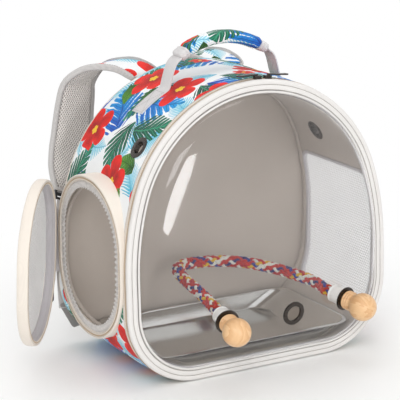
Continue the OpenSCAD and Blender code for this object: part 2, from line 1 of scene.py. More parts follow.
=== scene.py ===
# %% [markdown]
# # A soft travel carrier for a small bird
# The carrier is a sewn shell with a clear domed window, a rope perch, a steel tray, a round side door, a
# handle and two shoulder straps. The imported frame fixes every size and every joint. This script keeps each
# piece in its place and gives it the cloth, stitches, metal and wood that it has on the real thing.
# All helpers work in millimetres, as a maker would, and only the finished mesh is turned into metres.

import math

import bpy
import numpy as np
from mathutils import Matrix, Quaternion, Vector


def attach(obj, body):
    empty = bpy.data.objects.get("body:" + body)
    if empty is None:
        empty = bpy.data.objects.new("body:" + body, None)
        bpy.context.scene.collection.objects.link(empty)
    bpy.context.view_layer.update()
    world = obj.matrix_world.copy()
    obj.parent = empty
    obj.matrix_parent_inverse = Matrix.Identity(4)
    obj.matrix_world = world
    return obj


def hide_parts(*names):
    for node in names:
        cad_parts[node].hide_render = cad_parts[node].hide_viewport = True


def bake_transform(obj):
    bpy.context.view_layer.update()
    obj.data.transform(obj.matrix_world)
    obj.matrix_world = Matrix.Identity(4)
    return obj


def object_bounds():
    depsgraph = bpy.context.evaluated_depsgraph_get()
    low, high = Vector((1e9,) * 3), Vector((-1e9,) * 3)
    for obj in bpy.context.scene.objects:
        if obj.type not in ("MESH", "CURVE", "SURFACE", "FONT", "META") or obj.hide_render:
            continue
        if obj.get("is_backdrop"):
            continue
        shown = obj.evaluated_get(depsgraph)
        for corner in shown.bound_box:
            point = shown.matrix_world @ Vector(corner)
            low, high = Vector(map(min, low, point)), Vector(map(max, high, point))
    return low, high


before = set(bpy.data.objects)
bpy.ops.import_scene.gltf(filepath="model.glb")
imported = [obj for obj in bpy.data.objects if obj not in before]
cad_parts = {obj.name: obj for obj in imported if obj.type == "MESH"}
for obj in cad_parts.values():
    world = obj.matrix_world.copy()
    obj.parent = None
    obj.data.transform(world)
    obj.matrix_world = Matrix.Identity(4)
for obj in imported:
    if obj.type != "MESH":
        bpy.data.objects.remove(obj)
cad_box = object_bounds()
MM = 0.001
scene = bpy.context.scene
scene.view_settings.view_transform = "Standard"

# %% [markdown]
# ## Camera
# The photograph was taken from the front left, a little above the carrier, with a long lens. The camera's
# direction was fitted to points of the photograph. Its distance was chosen, because the points fit alike from
# 1.5 to 3 m. The lens and the small shift were then set to bring the carrier over the picture.

# %% Camera
VIEW_AZIMUTH, VIEW_ELEVATION, VIEW_DISTANCE = -30.5, 15.27, 2.301
VIEW_TARGET = Vector((0, 0, 0.185))
azimuth, elevation = math.radians(VIEW_AZIMUTH), math.radians(VIEW_ELEVATION)
view_back = Vector((math.sin(azimuth) * math.cos(elevation), -math.cos(azimuth) * math.cos(elevation),
    math.sin(elevation)))
camera = bpy.data.objects.new("camera", bpy.data.cameras.new("camera"))
LENS, SENSOR = 159.2, 36
SHIFT_X, SHIFT_Y = -0.053, 0.0206
camera.data.lens, camera.data.sensor_width = LENS, SENSOR
camera.data.shift_x, camera.data.shift_y = SHIFT_X, SHIFT_Y
camera.data.clip_end = 50
camera.location = VIEW_TARGET + view_back * VIEW_DISTANCE
camera.rotation_euler = (-view_back).to_track_quat("-Z", "Y").to_euler()
scene.collection.objects.link(camera)
scene.camera = camera
print("camera at", [round(c, 3) for c in camera.location])

# %% [markdown]
# ## Sizes
# These are the carrier's own measures, the same as the frame was built from. Every piece below is set out
# from them: the outline of the body, the lean of its two faces, the crown of the clear window, the door.

# %% Sizes of the carrier
CARRIER_H, HALF_W, HALF_D = 370, 190, 98
FRONT_LEAN, BACK_LEAN = math.radians(2.3), math.radians(2.9)
LOWER_R, ARCH_R, SIDE_RISE, WALL = 95, 183, 47, 5
ARCH_Z = CARRIER_H - ARCH_R
SIDE_Z = ARCH_Z - SIDE_RISE
SIDE_R = (HALF_W**2 + SIDE_RISE**2 - ARCH_R**2) / (2 * (HALF_W - ARCH_R))
CROWN_R, CROWN_H, CROWN_Z = 500, 52, 165
CROWN_Y = CROWN_R - CROWN_H
DOME_INSET = 17.3
EYELET_X, EYELET_Z = (-70, 25, 112), (79, 75, 77)
DOOR_HW, DOOR_HH, DOOR_R, DOOR_Y, DOOR_Z = 88, 104, 85, -1, 149
COLLAR_X = -194
DOOR_FACE = COLLAR_X - 0.5
MESH_TOP, MESH_BOTTOM, MESH_W = 229, 44, 158
print("arch of radius", ARCH_R, "mm with its centre", ARCH_Z, "mm up")

# %% [markdown]
# ## The outline
# Wall, zip, border, piping and window all follow one line: a flat base, two round lower corners, short
# straight sides and an arch. A table of points along that line, with the way out of it at each point, gives
# every ring of the body: a point at an inset is the outer point moved in along its own normal.

# %% The outline as a table
def arc(cx, cz, r, start, end, count):
    angle = np.radians(np.linspace(start, end, count))
    return np.stack([cx + r * np.cos(angle), cz + r * np.sin(angle), np.cos(angle), np.sin(angle)], 1)


def build_outline():
    foot, side_x = HALF_W - LOWER_R, HALF_W - SIDE_R
    side_a = math.degrees(math.atan2(SIDE_RISE, SIDE_R - HALF_W))
    base = np.array([[x, 0, 0, -1] for x in np.linspace(0, foot, 40)])
    side = np.array([[HALF_W, z, 1, 0] for z in np.linspace(LOWER_R, SIDE_Z, 20)])
    right = np.concatenate([base, arc(foot, LOWER_R, LOWER_R, -90, 0, 90), side,
        arc(side_x, SIDE_Z, SIDE_R, 0, side_a, 40), arc(0, ARCH_Z, ARCH_R, side_a, 90, 160)])
    table = np.concatenate([right, right[::-1] * [-1, 1, -1, 1]])
    step = np.linalg.norm(np.diff(table[:, :2], axis=0), axis=1)
    keep = np.concatenate([[True], step > 1e-6])
    table = table[keep]
    way = np.concatenate([[0], np.cumsum(np.linalg.norm(np.diff(table[:, :2], axis=0), axis=1))])
    return way, table


OUTLINE_S, OUTLINE = build_outline()
OUTLINE_LENGTH = OUTLINE_S[-1]


def rim(s, inset=0.0):
    """Points (x, z) of the outline moved in by inset, at distances s along it from the middle of the base."""
    s = np.mod(s, OUTLINE_LENGTH)
    x, z, nx, nz = (np.interp(s, OUTLINE_S, OUTLINE[:, k]) for k in range(4))
    size = np.hypot(nx, nz)
    return x - inset * nx / size, z - inset * nz / size


def rim_at_height(z):
    """Distance along the outline at which its right side is z high."""
    half = OUTLINE_S < OUTLINE_LENGTH / 2
    return np.interp(z, OUTLINE[half, 1], OUTLINE_S[half])


def on_front(x, y, z):
    """The leaning frame of the front: its own -Y points out of the window."""
    c, s = math.cos(FRONT_LEAN), math.sin(FRONT_LEAN)
    return np.stack(np.broadcast_arrays(x, y * c + z * s - HALF_D, z * c - y * s), -1)


def on_back(x, y, z):
    """The leaning frame of the back: its own +Y points towards the wearer."""
    c, s = math.cos(BACK_LEAN), math.sin(BACK_LEAN)
    return np.stack(np.broadcast_arrays(x, y * c - z * s + HALF_D, z * c + y * s), -1)


print("the outline is", round(OUTLINE_LENGTH), "mm long")

# %% [markdown]
# ## Making meshes
# Nearly every sewn piece is a skin drawn through rings of points: a tape is one profile carried along a
# line, a knob is one ring that changes its radius. One helper builds that skin, closes its ends, turns its
# faces outwards by testing the volume, and can give each strip of faces its own material.

# %% Helper: a skin through rings
def make_object(name, points, faces, materials, slots=None, uvs=None, sharp=35):
    """A mesh object at the origin from points in mm, with smooth faces up to the sharp angle."""
    mesh = bpy.data.meshes.new(name)
    mesh.from_pydata(np.asarray(points, float) * MM, [], faces)
    for material in materials:
        mesh.materials.append(material)
    if slots is not None:
        mesh.polygons.foreach_set("material_index", np.asarray(slots, np.int32))
    if uvs is not None:
        layer = mesh.uv_layers.new(name="cloth")
        layer.data.foreach_set("uv", (np.asarray(uvs, np.float32) * MM).ravel())
    mesh.shade_smooth()
    mesh.set_sharp_from_angle(angle=math.radians(sharp))
    made = bpy.data.objects.new(name, mesh)
    scene.collection.objects.link(made)
    return made


def signed_volume(points, faces):
    total = 0.0
    for face in faces:
        a = points[face[0]]
        for i in range(1, len(face) - 1):
            total += float(np.dot(a, np.cross(points[face[i]], points[face[i + 1]])))
    return total


def skin(name, rings, materials, closed=False, ring_u=None, point_v=None, point_slot=None, caps=True,
        sharp=35):
    """Draws a skin through closed rings. Outer faces point outwards. ring_u and point_v are the cloth's
    own measures along and across, and point_slot picks a material for each strip of faces."""
    rings = np.asarray(rings, float)
    n, m = rings.shape[:2]
    points = rings.reshape(-1, 3)
    spans = n if closed else n - 1
    faces, uvs, slots = [], [], []
    if ring_u is None:
        ring_u = np.arange(n + 1) * 4.0
    if point_v is None:
        point_v = np.arange(m + 1) * 4.0
    for i in range(spans):
        for j in range(m):
            k, l = (i + 1) % n, (j + 1) % m
            faces.append((i * m + j, i * m + l, k * m + l, k * m + j))
            uvs.append(((ring_u[i], point_v[j]), (ring_u[i], point_v[j + 1]),
                (ring_u[i + 1], point_v[j + 1]), (ring_u[i + 1], point_v[j])))
            slots.append(point_slot[j] if point_slot is not None else 0)
    if caps and not closed:
        for ring, order in ((0, range(m - 1, -1, -1)), (n - 1, range(m))):
            faces.append(tuple(ring * m + j for j in order))
            uvs.append(tuple((ring_u[ring], point_v[j]) for j in order))
            slots.append(0)
    if signed_volume(points, faces) < 0:
        faces = [face[::-1] for face in faces]
        uvs = [uv[::-1] for uv in uvs]
    flat = np.array([pair for uv in uvs for pair in uv])
    return make_object(name, points, faces, materials, slots, flat, sharp)


def rounded_section(width, height, corner, steps=3):
    """Points of a rectangle with round corners, centred, going round once."""
    corner = min(corner, width / 2 - 0.01, height / 2 - 0.01)
    found = []
    for cx, cy, start in ((1, 1, 0), (-1, 1, 90), (-1, -1, 180), (1, -1, 270)):
        for a in np.radians(np.linspace(start, start + 90, steps)):
            found.append((cx * (width / 2 - corner) + corner * math.cos(a),
                cy * (height / 2 - corner) + corner * math.sin(a)))
    return np.array(found)


def smooth_path(points, steps):
    """A curve through the points, with so many steps between two of them."""
    p = np.asarray(points, float)
    found = []
    for i in range(len(p) - 1):
        a, b, c, d = p[max(i - 1, 0)], p[i], p[i + 1], p[min(i + 2, len(p) - 1)]
        for t in np.arange(steps) / steps:
            found.append(0.5 * ((2 * b) + (c - a) * t + (2 * a - 5 * b + 4 * c - d) * t**2
                + (3 * b - a - 3 * c + d) * t**3))
    return np.array(found + [p[-1]])


def unit(v):
    v = np.asarray(v, float)
    return v / np.linalg.norm(v, axis=-1, keepdims=True)


def path_frames(path, across):
    """Tangent, across and up at each point of a path, with across squared off against the tangent."""
    tangent = unit(np.gradient(path, axis=0))
    across = np.broadcast_to(across, path.shape)
    across = unit(across - (across * tangent).sum(1, keepdims=True) * tangent)
    return tangent, across, np.cross(across, tangent)


def band_rings(path, across, width, thick, corner=0.6, steps=3):
    """Rings of a flat band that follows a path; width and thick may change along it."""
    path = np.asarray(path, float)
    tangent, across, up = path_frames(path, np.asarray(across, float))
    width, thick = np.broadcast_to(width, len(path)), np.broadcast_to(thick, len(path))
    rings = []
    for i in range(len(path)):
        section = rounded_section(width[i], thick[i], min(width[i], thick[i]) * 0.5 * corner, steps)
        rings.append(path[i] + section[:, :1] * across[i] + section[:, 1:] * up[i])
    return np.array(rings)


def lengths(path):
    return np.concatenate([[0], np.cumsum(np.linalg.norm(np.diff(path, axis=0), axis=1))])


def placed(points, matrix):
    """Points in mm moved by a 4x4 matrix whose place is in mm."""
    points = np.asarray(points, float)
    return points @ matrix[:3, :3].T + matrix[:3, 3]


def lathe(name, profile, matrix, materials, closed=False, sides=56, sharp=35):
    """Turns a profile of (radius, height) about the Z axis of the matrix."""
    turn = np.linspace(0, 2 * math.pi, sides, endpoint=False)
    rings = [np.stack([r * np.cos(turn), r * np.sin(turn), np.full(sides, h)], 1) for r, h in profile]
    return skin(name, [placed(ring, matrix) for ring in rings], materials, closed=closed, sharp=sharp)


def finish_piece(made, body, nodes):
    """Rides on its body and stands for its nodes."""
    if body:
        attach(made, body)
    if nodes:
        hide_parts(*nodes)
    print("made", made.name, "with", len(made.data.polygons), "faces")
    return made


def applied(made):
    """The object's modifiers made part of its mesh."""
    bpy.context.view_layer.update()
    shaped = bpy.data.meshes.new_from_object(made.evaluated_get(bpy.context.evaluated_depsgraph_get()))
    made.modifiers.clear()
    made.data = shaped
    return made


print("helpers ready")

# %% [markdown]
# ## Shader groups
# Cloth, metal and wood here share a few effects: threads that cross, slow changes of tone, fine scratches
# and fibres. Each is a node group with its own inputs, so that one effect can be coarse in the webbing and
# fine in the lining. The groups give only heights and tones; the threads' tone is painted shade, darker where
# the threads dip between crossings. The shader itself stays in each material.

# %% Helpers: nodes and groups
def node(tree, kind, inputs=None, **settings):
    made = tree.nodes.new(kind)
    for key, value in settings.items():
        setattr(made, key, value)
    for key, value in (inputs or {}).items():
        if isinstance(value, bpy.types.NodeSocket):
            tree.links.new(value, made.inputs[key])
        else:
            made.inputs[key].default_value = value
    return made


def calc(tree, operation, a, b=0.0, c=0.0, clamp=False):
    """The output of one Math node."""
    return node(tree, "ShaderNodeMath", {0: a, 1: b, 2: c}, operation=operation, use_clamp=clamp).outputs[0]


def colour_mix(tree, share, a, b):
    mix = node(tree, "ShaderNodeMix", data_type="RGBA")
    for index, value in ((0, share), (6, a), (7, b)):
        if isinstance(value, bpy.types.NodeSocket):
            tree.links.new(value, mix.inputs[index])
        else:
            mix.inputs[index].default_value = value
    return mix.outputs[2]


def new_group(name, takes, gives):
    """A shader group with named inputs and outputs."""
    tree = bpy.data.node_groups.new(name, "ShaderNodeTree")
    for label, value in takes:
        kind = "NodeSocketVector" if isinstance(value, tuple) else "NodeSocketFloat"
        tree.interface.new_socket(label, in_out="INPUT", socket_type=kind).default_value = value
    for label in gives:
        kind = "NodeSocketVector" if label == "Place" else "NodeSocketFloat"
        tree.interface.new_socket(label, in_out="OUTPUT", socket_type=kind)
    return tree, tree.nodes.new("NodeGroupInput").outputs, tree.nodes.new("NodeGroupOutput").inputs


def use_group(tree, group, **inputs):
    made = tree.nodes.new("ShaderNodeGroup")
    made.node_tree = group
    for key, value in inputs.items():
        key = key.replace("_", " ")
        if isinstance(value, bpy.types.NodeSocket):
            tree.links.new(value, made.inputs[key])
        else:
            made.inputs[key].default_value = value
    return made.outputs


def rgb(text, alpha=1.0):
    """A colour written as on screen, turned into the linear values that a shader takes."""
    parts = [int(text[i:i + 2], 16) / 255 for i in (0, 2, 4)]
    return tuple(c / 12.92 if c <= 0.04045 else ((c + 0.055) / 1.055) ** 2.4 for c in parts) + (alpha,)


print("node helpers ready")

# %% Groups: crossing threads, slow mottling, fine scratches
threads_group, take, give = new_group("crossing threads",
    [("Vector", (0.0, 0.0, 0.0)), ("Threads", 800.0), ("Contrast", 0.15)], ["Height", "Tone"])
t = threads_group
axes = node(t, "ShaderNodeSeparateXYZ", {0: take["Vector"]}).outputs
pulse = calc(t, "MULTIPLY", take["Threads"], 2 * math.pi)
warp = calc(t, "SINE", calc(t, "MULTIPLY", calc(t, "ADD", axes[0], axes[2]), pulse))
weft = calc(t, "SINE", calc(t, "MULTIPLY", calc(t, "SUBTRACT", axes[1], axes[2]), pulse))
height = calc(t, "MULTIPLY_ADD", calc(t, "MULTIPLY", warp, weft), 0.5, 0.5)
t.links.new(height, give["Height"])
# painted shade: the colour darkens where the threads dip between their crossings
thread_valley_shade = calc(t, "MULTIPLY", calc(t, "SUBTRACT", 1.0, height), take["Contrast"])
t.links.new(calc(t, "SUBTRACT", 1.0, thread_valley_shade), give["Tone"])

mottle_group, take, give = new_group("slow mottling",
    [("Vector", (0.0, 0.0, 0.0)), ("Scale", 14.0), ("Amount", 0.08)], ["Tone"])
t = mottle_group
cloud = node(t, "ShaderNodeTexNoise", {"Vector": take["Vector"], "Scale": take["Scale"], "Detail": 4.0,
    "Roughness": 0.6}).outputs[0]
lift = calc(t, "MULTIPLY", calc(t, "SUBTRACT", cloud, 0.5), take["Amount"])
t.links.new(calc(t, "MULTIPLY_ADD", lift, 2.0, 1.0), give["Tone"])

scratch_group, take, give = new_group("fine scratches",
    [("Vector", (0.0, 0.0, 0.0)), ("Scale", 60.0), ("Stretch", 25.0)], ["Height", "Tone"])
t = scratch_group
longer = node(t, "ShaderNodeCombineXYZ", {0: 1.0, 1: take["Stretch"], 2: take["Stretch"]}).outputs[0]
drawn = node(t, "ShaderNodeVectorMath", {0: take["Vector"], 1: longer}, operation="MULTIPLY").outputs[0]
lines = node(t, "ShaderNodeTexNoise", {"Vector": drawn, "Scale": take["Scale"], "Detail": 6.0,
    "Roughness": 0.7}).outputs[0]
t.links.new(lines, give["Height"])
t.links.new(calc(t, "MULTIPLY_ADD", lines, 0.3, 0.85), give["Tone"])
print("groups:", [g.name for g in (threads_group, mottle_group, scratch_group)])

# %% [markdown]
# ## Cloth finishes
# The carrier's cloths differ in colour, in how coarse their threads are and in how much they shine. One
# function makes them all: base colour times thread tone, which is painted shade between the threads, times
# slow mottling, the thread height as a bump, and a soft sheen, which is what makes polyester look like cloth
# instead of painted card.

# %% Cloth materials
def new_material(name, **shader_values):
    made = bpy.data.materials.new(name)
    made.use_nodes = True
    tree = made.node_tree
    shader = tree.nodes["Principled BSDF"]
    for key, value in shader_values.items():
        shader.inputs[key.replace("_", " ")].default_value = value
    return made, tree, shader.inputs


def object_place(tree):
    return node(tree, "ShaderNodeTexCoord").outputs["Object"]


def toned(tree, colour, *tones):
    """A colour, constant or from a socket, multiplied by each tone."""
    product = tones[0]
    for tone in tones[1:]:
        product = calc(tree, "MULTIPLY", product, tone)
    if not isinstance(colour, bpy.types.NodeSocket):
        colour = colour[:3]
    return node(tree, "ShaderNodeVectorMath", {0: colour, "Scale": product}, operation="SCALE").outputs[0]


def bump(tree, height, depth_mm, strength=1.0):
    return node(tree, "ShaderNodeBump", {"Height": height, "Distance": depth_mm * MM,
        "Strength": strength}).outputs[0]


def cloth(name, colour, threads=700, valley_shade=0.14, mottle=0.07, depth=0.25, sheen=0.25, rough=0.85):
    made, tree, shader = new_material(name, Roughness=rough, Sheen_Weight=sheen, Sheen_Roughness=0.4)
    spot = object_place(tree)
    # the threads' tone darkens the colour between them as painted shade
    weave = use_group(tree, threads_group, Vector=spot, Threads=float(threads), Contrast=valley_shade)
    patch = use_group(tree, mottle_group, Vector=spot, Scale=13.0, Amount=mottle)
    tree.links.new(toned(tree, colour, weave["Tone"], patch["Tone"]), shader["Base Color"])
    tree.links.new(bump(tree, weave["Height"], depth), shader["Normal"])
    return made


CREAM = cloth("cream_cloth", rgb("E9E0D5"), threads=900, valley_shade=0.06, depth=0.1)
CREAM_PIPING = cloth("cream_piping_cloth", rgb("E4DACD"), threads=600, valley_shade=0.14)
LINING = cloth("taupe_lining_cloth", rgb("C0B5AB"), threads=620, valley_shade=0.10, mottle=0.09, sheen=0.35)
LILAC_GREY = cloth("grey_cloth", rgb("CFCBCE"), threads=650, valley_shade=0.12)
PALE_GREY = cloth("pale_grey_cloth", rgb("DEDBDB"), threads=500, valley_shade=0.16, depth=0.35)
PAD_MESH = cloth("spacer_mesh_cloth", rgb("B9B5B4"), threads=260, valley_shade=0.38, depth=0.7)
BORDER = cloth("border_cloth", rgb("E3E0DD"), threads=900, valley_shade=0.06, depth=0.1)
NET = cloth("net_thread", rgb("F6F5F4"), threads=900, valley_shade=0.10, sheen=0.4)
ELASTIC = cloth("gathered_elastic", rgb("EFEBE8"), threads=420, valley_shade=0.18, depth=0.4)
STITCH = cloth("sewing_thread", rgb("CFC4B6"), threads=1500, valley_shade=0.2, sheen=0.5)
GREY_THREAD = cloth("grey_thread", rgb("BDB9B9"), threads=1500, valley_shade=0.2, sheen=0.5)
DARK_THREAD = cloth("dark_thread", rgb("A39C96"), threads=1500, valley_shade=0.2, sheen=0.5)
STRAP_TAPE = cloth("strap_tape", rgb("CBC8C6"), threads=560, valley_shade=0.18)
TAPE = cloth("binding_tape", rgb("A9A5A3"), threads=560, valley_shade=0.2)
CORE_YARN = cloth("core_yarn", rgb("3B3540"), threads=900, valley_shade=0.2)
BOARD = cloth("covered_board", rgb("8F8780"), threads=480, valley_shade=0.12)


def let_light_through(made, share):
    """Part of a thin cloth's light comes from behind it, in the cloth's own colour."""
    tree = made.node_tree
    shader = tree.nodes["Principled BSDF"]
    colour = shader.inputs["Base Color"].links[0].from_socket
    thin = node(tree, "ShaderNodeBsdfTranslucent", {"Color": colour}).outputs[0]
    mix = node(tree, "ShaderNodeMixShader", {0: share, 1: shader.outputs[0], 2: thin}).outputs[0]
    tree.links.new(mix, tree.nodes["Material Output"].inputs["Surface"])


let_light_through(NET, 0.6)
let_light_through(ELASTIC, 0.2)
print("cloths ready")

# %% [markdown]
# ## The printed cloth
# The wall wears a summery print of leaves and blossoms on white. Here it is drawn by the material itself,
# on the cloth's own measures, so that it follows the wall round the arch. Each layer scatters one motif: a
# cell texture gives every leaf its place and a random turn, and a few sums draw its outline, its slits and
# its rib. Layers lie over each other as printed inks do.

# %% Groups: scattered places, a leaf, a blossom
scatter_group, take, give = new_group("scattered places",
    [("Vector", (0.0, 0.0, 0.0)), ("Spacing", 0.08), ("Shift", 0.0), ("Loose", 0.7)],
    ["Place", "Chance", "Tint"])
t = scatter_group
moved = node(t, "ShaderNodeVectorMath", {0: take["Vector"], 1: take["Shift"]}, operation="ADD").outputs[0]
cells = node(t, "ShaderNodeTexVoronoi", {"Vector": moved, "Scale": calc(t, "DIVIDE", 1.0, take["Spacing"]),
    "Randomness": take["Loose"]}, voronoi_dimensions="2D").outputs
dice = node(t, "ShaderNodeSeparateColor", {0: cells["Color"]}).outputs
arm = node(t, "ShaderNodeVectorMath", {0: moved, 1: cells["Position"]}, operation="SUBTRACT").outputs[0]
flat_arm = node(t, "ShaderNodeVectorMath", {0: arm, 1: (1.0, 1.0, 0.0)}, operation="MULTIPLY").outputs[0]
turned = node(t, "ShaderNodeVectorRotate", {"Vector": flat_arm, "Angle": calc(t, "MULTIPLY", dice[0],
    2 * math.pi)},
    rotation_type="Z_AXIS").outputs[0]
scaled = node(t, "ShaderNodeVectorMath", {0: turned, "Scale": calc(t, "DIVIDE", 1.0, take["Spacing"])},
    operation="SCALE").outputs[0]
t.links.new(scaled, give["Place"])
t.links.new(dice[1], give["Chance"])
t.links.new(dice[2], give["Tint"])

leaf_group, take, give = new_group("leaf",
    [("Vector", (0.0, 0.0, 0.0)), ("Length", 0.9), ("Width", 0.2), ("Cuts", 9.0), ("Slant", 0.7),
     ("Slit", 0.6), ("Bend", 0.25)], ["Mask", "Rib", "Along"])
t = leaf_group
axes = node(t, "ShaderNodeSeparateXYZ", {0: take["Vector"]}).outputs
bent = calc(t, "MULTIPLY_ADD", calc(t, "MULTIPLY", axes[0], axes[0]), take["Bend"], axes[1])
along = calc(t, "ADD", calc(t, "DIVIDE", axes[0], take["Length"]), 0.5)
across = calc(t, "ABSOLUTE", bent)
swell = calc(t, "SINE", calc(t, "MULTIPLY", along, math.pi))
half = calc(t, "MULTIPLY", calc(t, "MULTIPLY", swell, take["Width"]),
    calc(t, "MULTIPLY_ADD", along, -0.5, 1.25))
inside = calc(t, "GREATER_THAN", half, across)
row = calc(t, "MULTIPLY", calc(t, "SUBTRACT", along, calc(t, "MULTIPLY", across, take["Slant"])),
    take["Cuts"])
blade = calc(t, "FRACT", calc(t, "ADD", row, 20.0))
share = calc(t, "DIVIDE", across, calc(t, "MAXIMUM", half, 0.001), clamp=True)
gap = calc(t, "MULTIPLY", calc(t, "POWER", share, 1.3), take["Slit"])
side_a = calc(t, "GREATER_THAN", blade, calc(t, "MULTIPLY", gap, 0.55))
side_b = calc(t, "LESS_THAN", blade, calc(t, "MULTIPLY_ADD", gap, -0.45, 1.0))
t.links.new(calc(t, "MULTIPLY", inside, calc(t, "MULTIPLY", side_a, side_b)), give["Mask"])
rib = calc(t, "LESS_THAN", across, 0.012)
vein = calc(t, "LESS_THAN", calc(t, "ABSOLUTE", calc(t, "SUBTRACT", blade, 0.5)), 0.05)
t.links.new(calc(t, "MAXIMUM", rib, vein), give["Rib"])
t.links.new(along, give["Along"])

blossom_group, take, give = new_group("blossom",
    [("Vector", (0.0, 0.0, 0.0)), ("Size", 0.35), ("Petals", 5.0)], ["Mask", "Depth"])
t = blossom_group
axes = node(t, "ShaderNodeSeparateXYZ", {0: take["Vector"]}).outputs
angle = calc(t, "ARCTAN2", axes[1], axes[0])
reach = node(t, "ShaderNodeVectorMath", {0: take["Vector"]}, operation="LENGTH").outputs["Value"]
lobe = calc(t, "ABSOLUTE", calc(t, "COSINE", calc(t, "MULTIPLY", angle, calc(t, "MULTIPLY", take["Petals"],
    0.5))))
edge = calc(t, "MULTIPLY", take["Size"], calc(t, "MULTIPLY_ADD", calc(t, "POWER", lobe, 0.55), 0.5, 0.5))
t.links.new(calc(t, "GREATER_THAN", edge, reach), give["Mask"])
t.links.new(calc(t, "DIVIDE", reach, edge, clamp=True), give["Depth"])
print("motif groups ready")

# %% The print as a material
LEAF_LAYERS = (
    # spacing, shift, length, width, cuts, slant, slit, share shown, two inks and the rib's ink
    (0.056, 0.31, 1.20, 0.36, 13, 0.9, 0.75, 0.92, "55BEDA", "AFE1EE", "1F86AE"),
    (0.085, 0.13, 1.20, 0.42, 7, 1.0, 0.50, 0.62, "0D46B8", "12A2E2", "08205E"),
    (0.078, 0.57, 1.20, 0.30, 7, 1.3, 0.42, 0.80, "042E24", "0F7256", "46B286"),
    (0.060, 0.83, 0.90, 0.22, 9, 1.0, 0.05, 0.22, "124A17", "5C9A26", "0A2C10"),
)
BLOSSOM_LAYERS = ((0.088, 0.21, 0.40, 5, 0.50, "EE1C0C", "900A0B", "F3C22E"),
    (0.060, 0.71, 0.26, 6, 0.22, "EE2C18", "B00E12", "F5D95C"))


def printed_cloth(name):
    made, tree, shader = new_material(name, Roughness=0.75, Sheen_Weight=0.05, Sheen_Roughness=0.4)
    cloth_uv = node(tree, "ShaderNodeUVMap", uv_map="cloth").outputs[0]
    ground = rgb("F3F5F6")
    colour = ground
    wobble = node(tree, "ShaderNodeTexNoise", {"Vector": cloth_uv, "Scale": 55.0, "Detail": 2.0}).outputs[1]
    jitter = node(tree, "ShaderNodeVectorMath", {0: wobble, "Scale": 0.006}, operation="SCALE").outputs[0]
    hand_drawn = node(tree, "ShaderNodeVectorMath", {0: cloth_uv, 1: jitter}, operation="ADD").outputs[0]
    inks = node(tree, "ShaderNodeTexNoise", {"Vector": cloth_uv, "Scale": 70.0, "Detail": 3.0}).outputs[0]
    for spacing, shift, length, width, cuts, slant, slit, shown, ink, tip, rib_ink in LEAF_LAYERS:
        spots = use_group(tree, scatter_group, Vector=hand_drawn, Spacing=spacing, Shift=shift, Loose=0.75)
        leaf = use_group(tree, leaf_group, Vector=spots["Place"], Length=length, Width=width,
            Cuts=float(cuts), Slant=slant, Slit=slit)
        fade = calc(tree, "ADD", leaf["Along"], calc(tree, "SUBTRACT", inks, 0.5), clamp=True)
        body = colour_mix(tree, fade, rgb(ink), rgb(tip))
        body = colour_mix(tree, calc(tree, "MULTIPLY", leaf["Rib"], 0.55), body, rgb(rib_ink))
        mask = calc(tree, "MULTIPLY", leaf["Mask"], calc(tree, "LESS_THAN", spots["Chance"], shown))
        colour = colour_mix(tree, mask, colour, body)
    for spacing, shift, size, petals, shown, ink, deep, heart in BLOSSOM_LAYERS:
        spots = use_group(tree, scatter_group, Vector=hand_drawn, Spacing=spacing, Shift=shift, Loose=0.6)
        bloom = use_group(tree, blossom_group, Vector=spots["Place"], Size=size, Petals=float(petals))
        shade = calc(tree, "MULTIPLY_ADD", calc(tree, "SUBTRACT", inks, 0.5), 1.6, bloom["Depth"], clamp=True)
        body = colour_mix(tree, shade, rgb(deep), rgb(ink))
        body = colour_mix(tree, calc(tree, "LESS_THAN", bloom["Depth"], 0.2), body, rgb(heart))
        mask = calc(tree, "MULTIPLY", bloom["Mask"], calc(tree, "LESS_THAN", spots["Chance"], shown))
        colour = colour_mix(tree, mask, colour, body)
    # a light painted shade between the threads, as in the plain cloths
    weave = use_group(tree, threads_group, Vector=object_place(tree), Threads=700.0, Contrast=0.08)
    patch = use_group(tree, mottle_group, Vector=object_place(tree), Scale=9.0, Amount=0.04)
    tree.links.new(toned(tree, colour, weave["Tone"], patch["Tone"]), shader["Base Color"])
    tree.links.new(bump(tree, weave["Height"], 0.2), shader["Normal"])
    return made


PRINT = printed_cloth("printed_cloth")
print("print with", len(PRINT.node_tree.nodes), "nodes")

# %% [markdown]
# ## Webbing, rope and strap mesh
# Webbing shows ribs along its length, so its pattern reads the strip's own UV map; its colour is painted
# darker in the grooves as shade. The rope's strands carry a number each, and the material picks the strand's
# dye from that number, with painted shade between the fibres. The straps' inner face is an open diamond weave
# in taupe, painted darker in its holes as shade.

# %% Webbing, strap mesh and rope
def webbing_material(name, colour, ribs=7.0):
    made, tree, shader = new_material(name, Roughness=0.75, Sheen_Weight=0.3, Sheen_Roughness=0.35)
    uv = node(tree, "ShaderNodeSeparateXYZ", {0: node(tree, "ShaderNodeUVMap",
        uv_map="cloth").outputs[0]}).outputs
    per_metre = ribs * 2 * math.pi / 0.025
    rib = calc(tree, "SINE", calc(tree, "MULTIPLY", uv[1], per_metre))
    chevron = calc(tree, "ABSOLUTE", calc(tree, "SUBTRACT", calc(tree, "FRACT",
        calc(tree, "MULTIPLY", uv[1], 280.0)), 0.5))
    twill = calc(tree, "SINE", calc(tree, "MULTIPLY", calc(tree, "ADD", uv[0],
        calc(tree, "MULTIPLY", chevron, 0.004)), 5200.0))
    height = calc(tree, "MULTIPLY_ADD", twill, 0.25, calc(tree, "MULTIPLY_ADD", rib, 0.25, 0.5))
    # the colour darkens in the low parts of the ribs and the twill: painted shade in the grooves
    tone = calc(tree, "MULTIPLY_ADD", height, 0.16, 0.88)
    patch = use_group(tree, mottle_group, Vector=object_place(tree), Scale=30.0, Amount=0.05)
    tree.links.new(toned(tree, colour, tone, patch["Tone"]), shader["Base Color"])
    tree.links.new(bump(tree, height, 0.5), shader["Normal"])
    return made


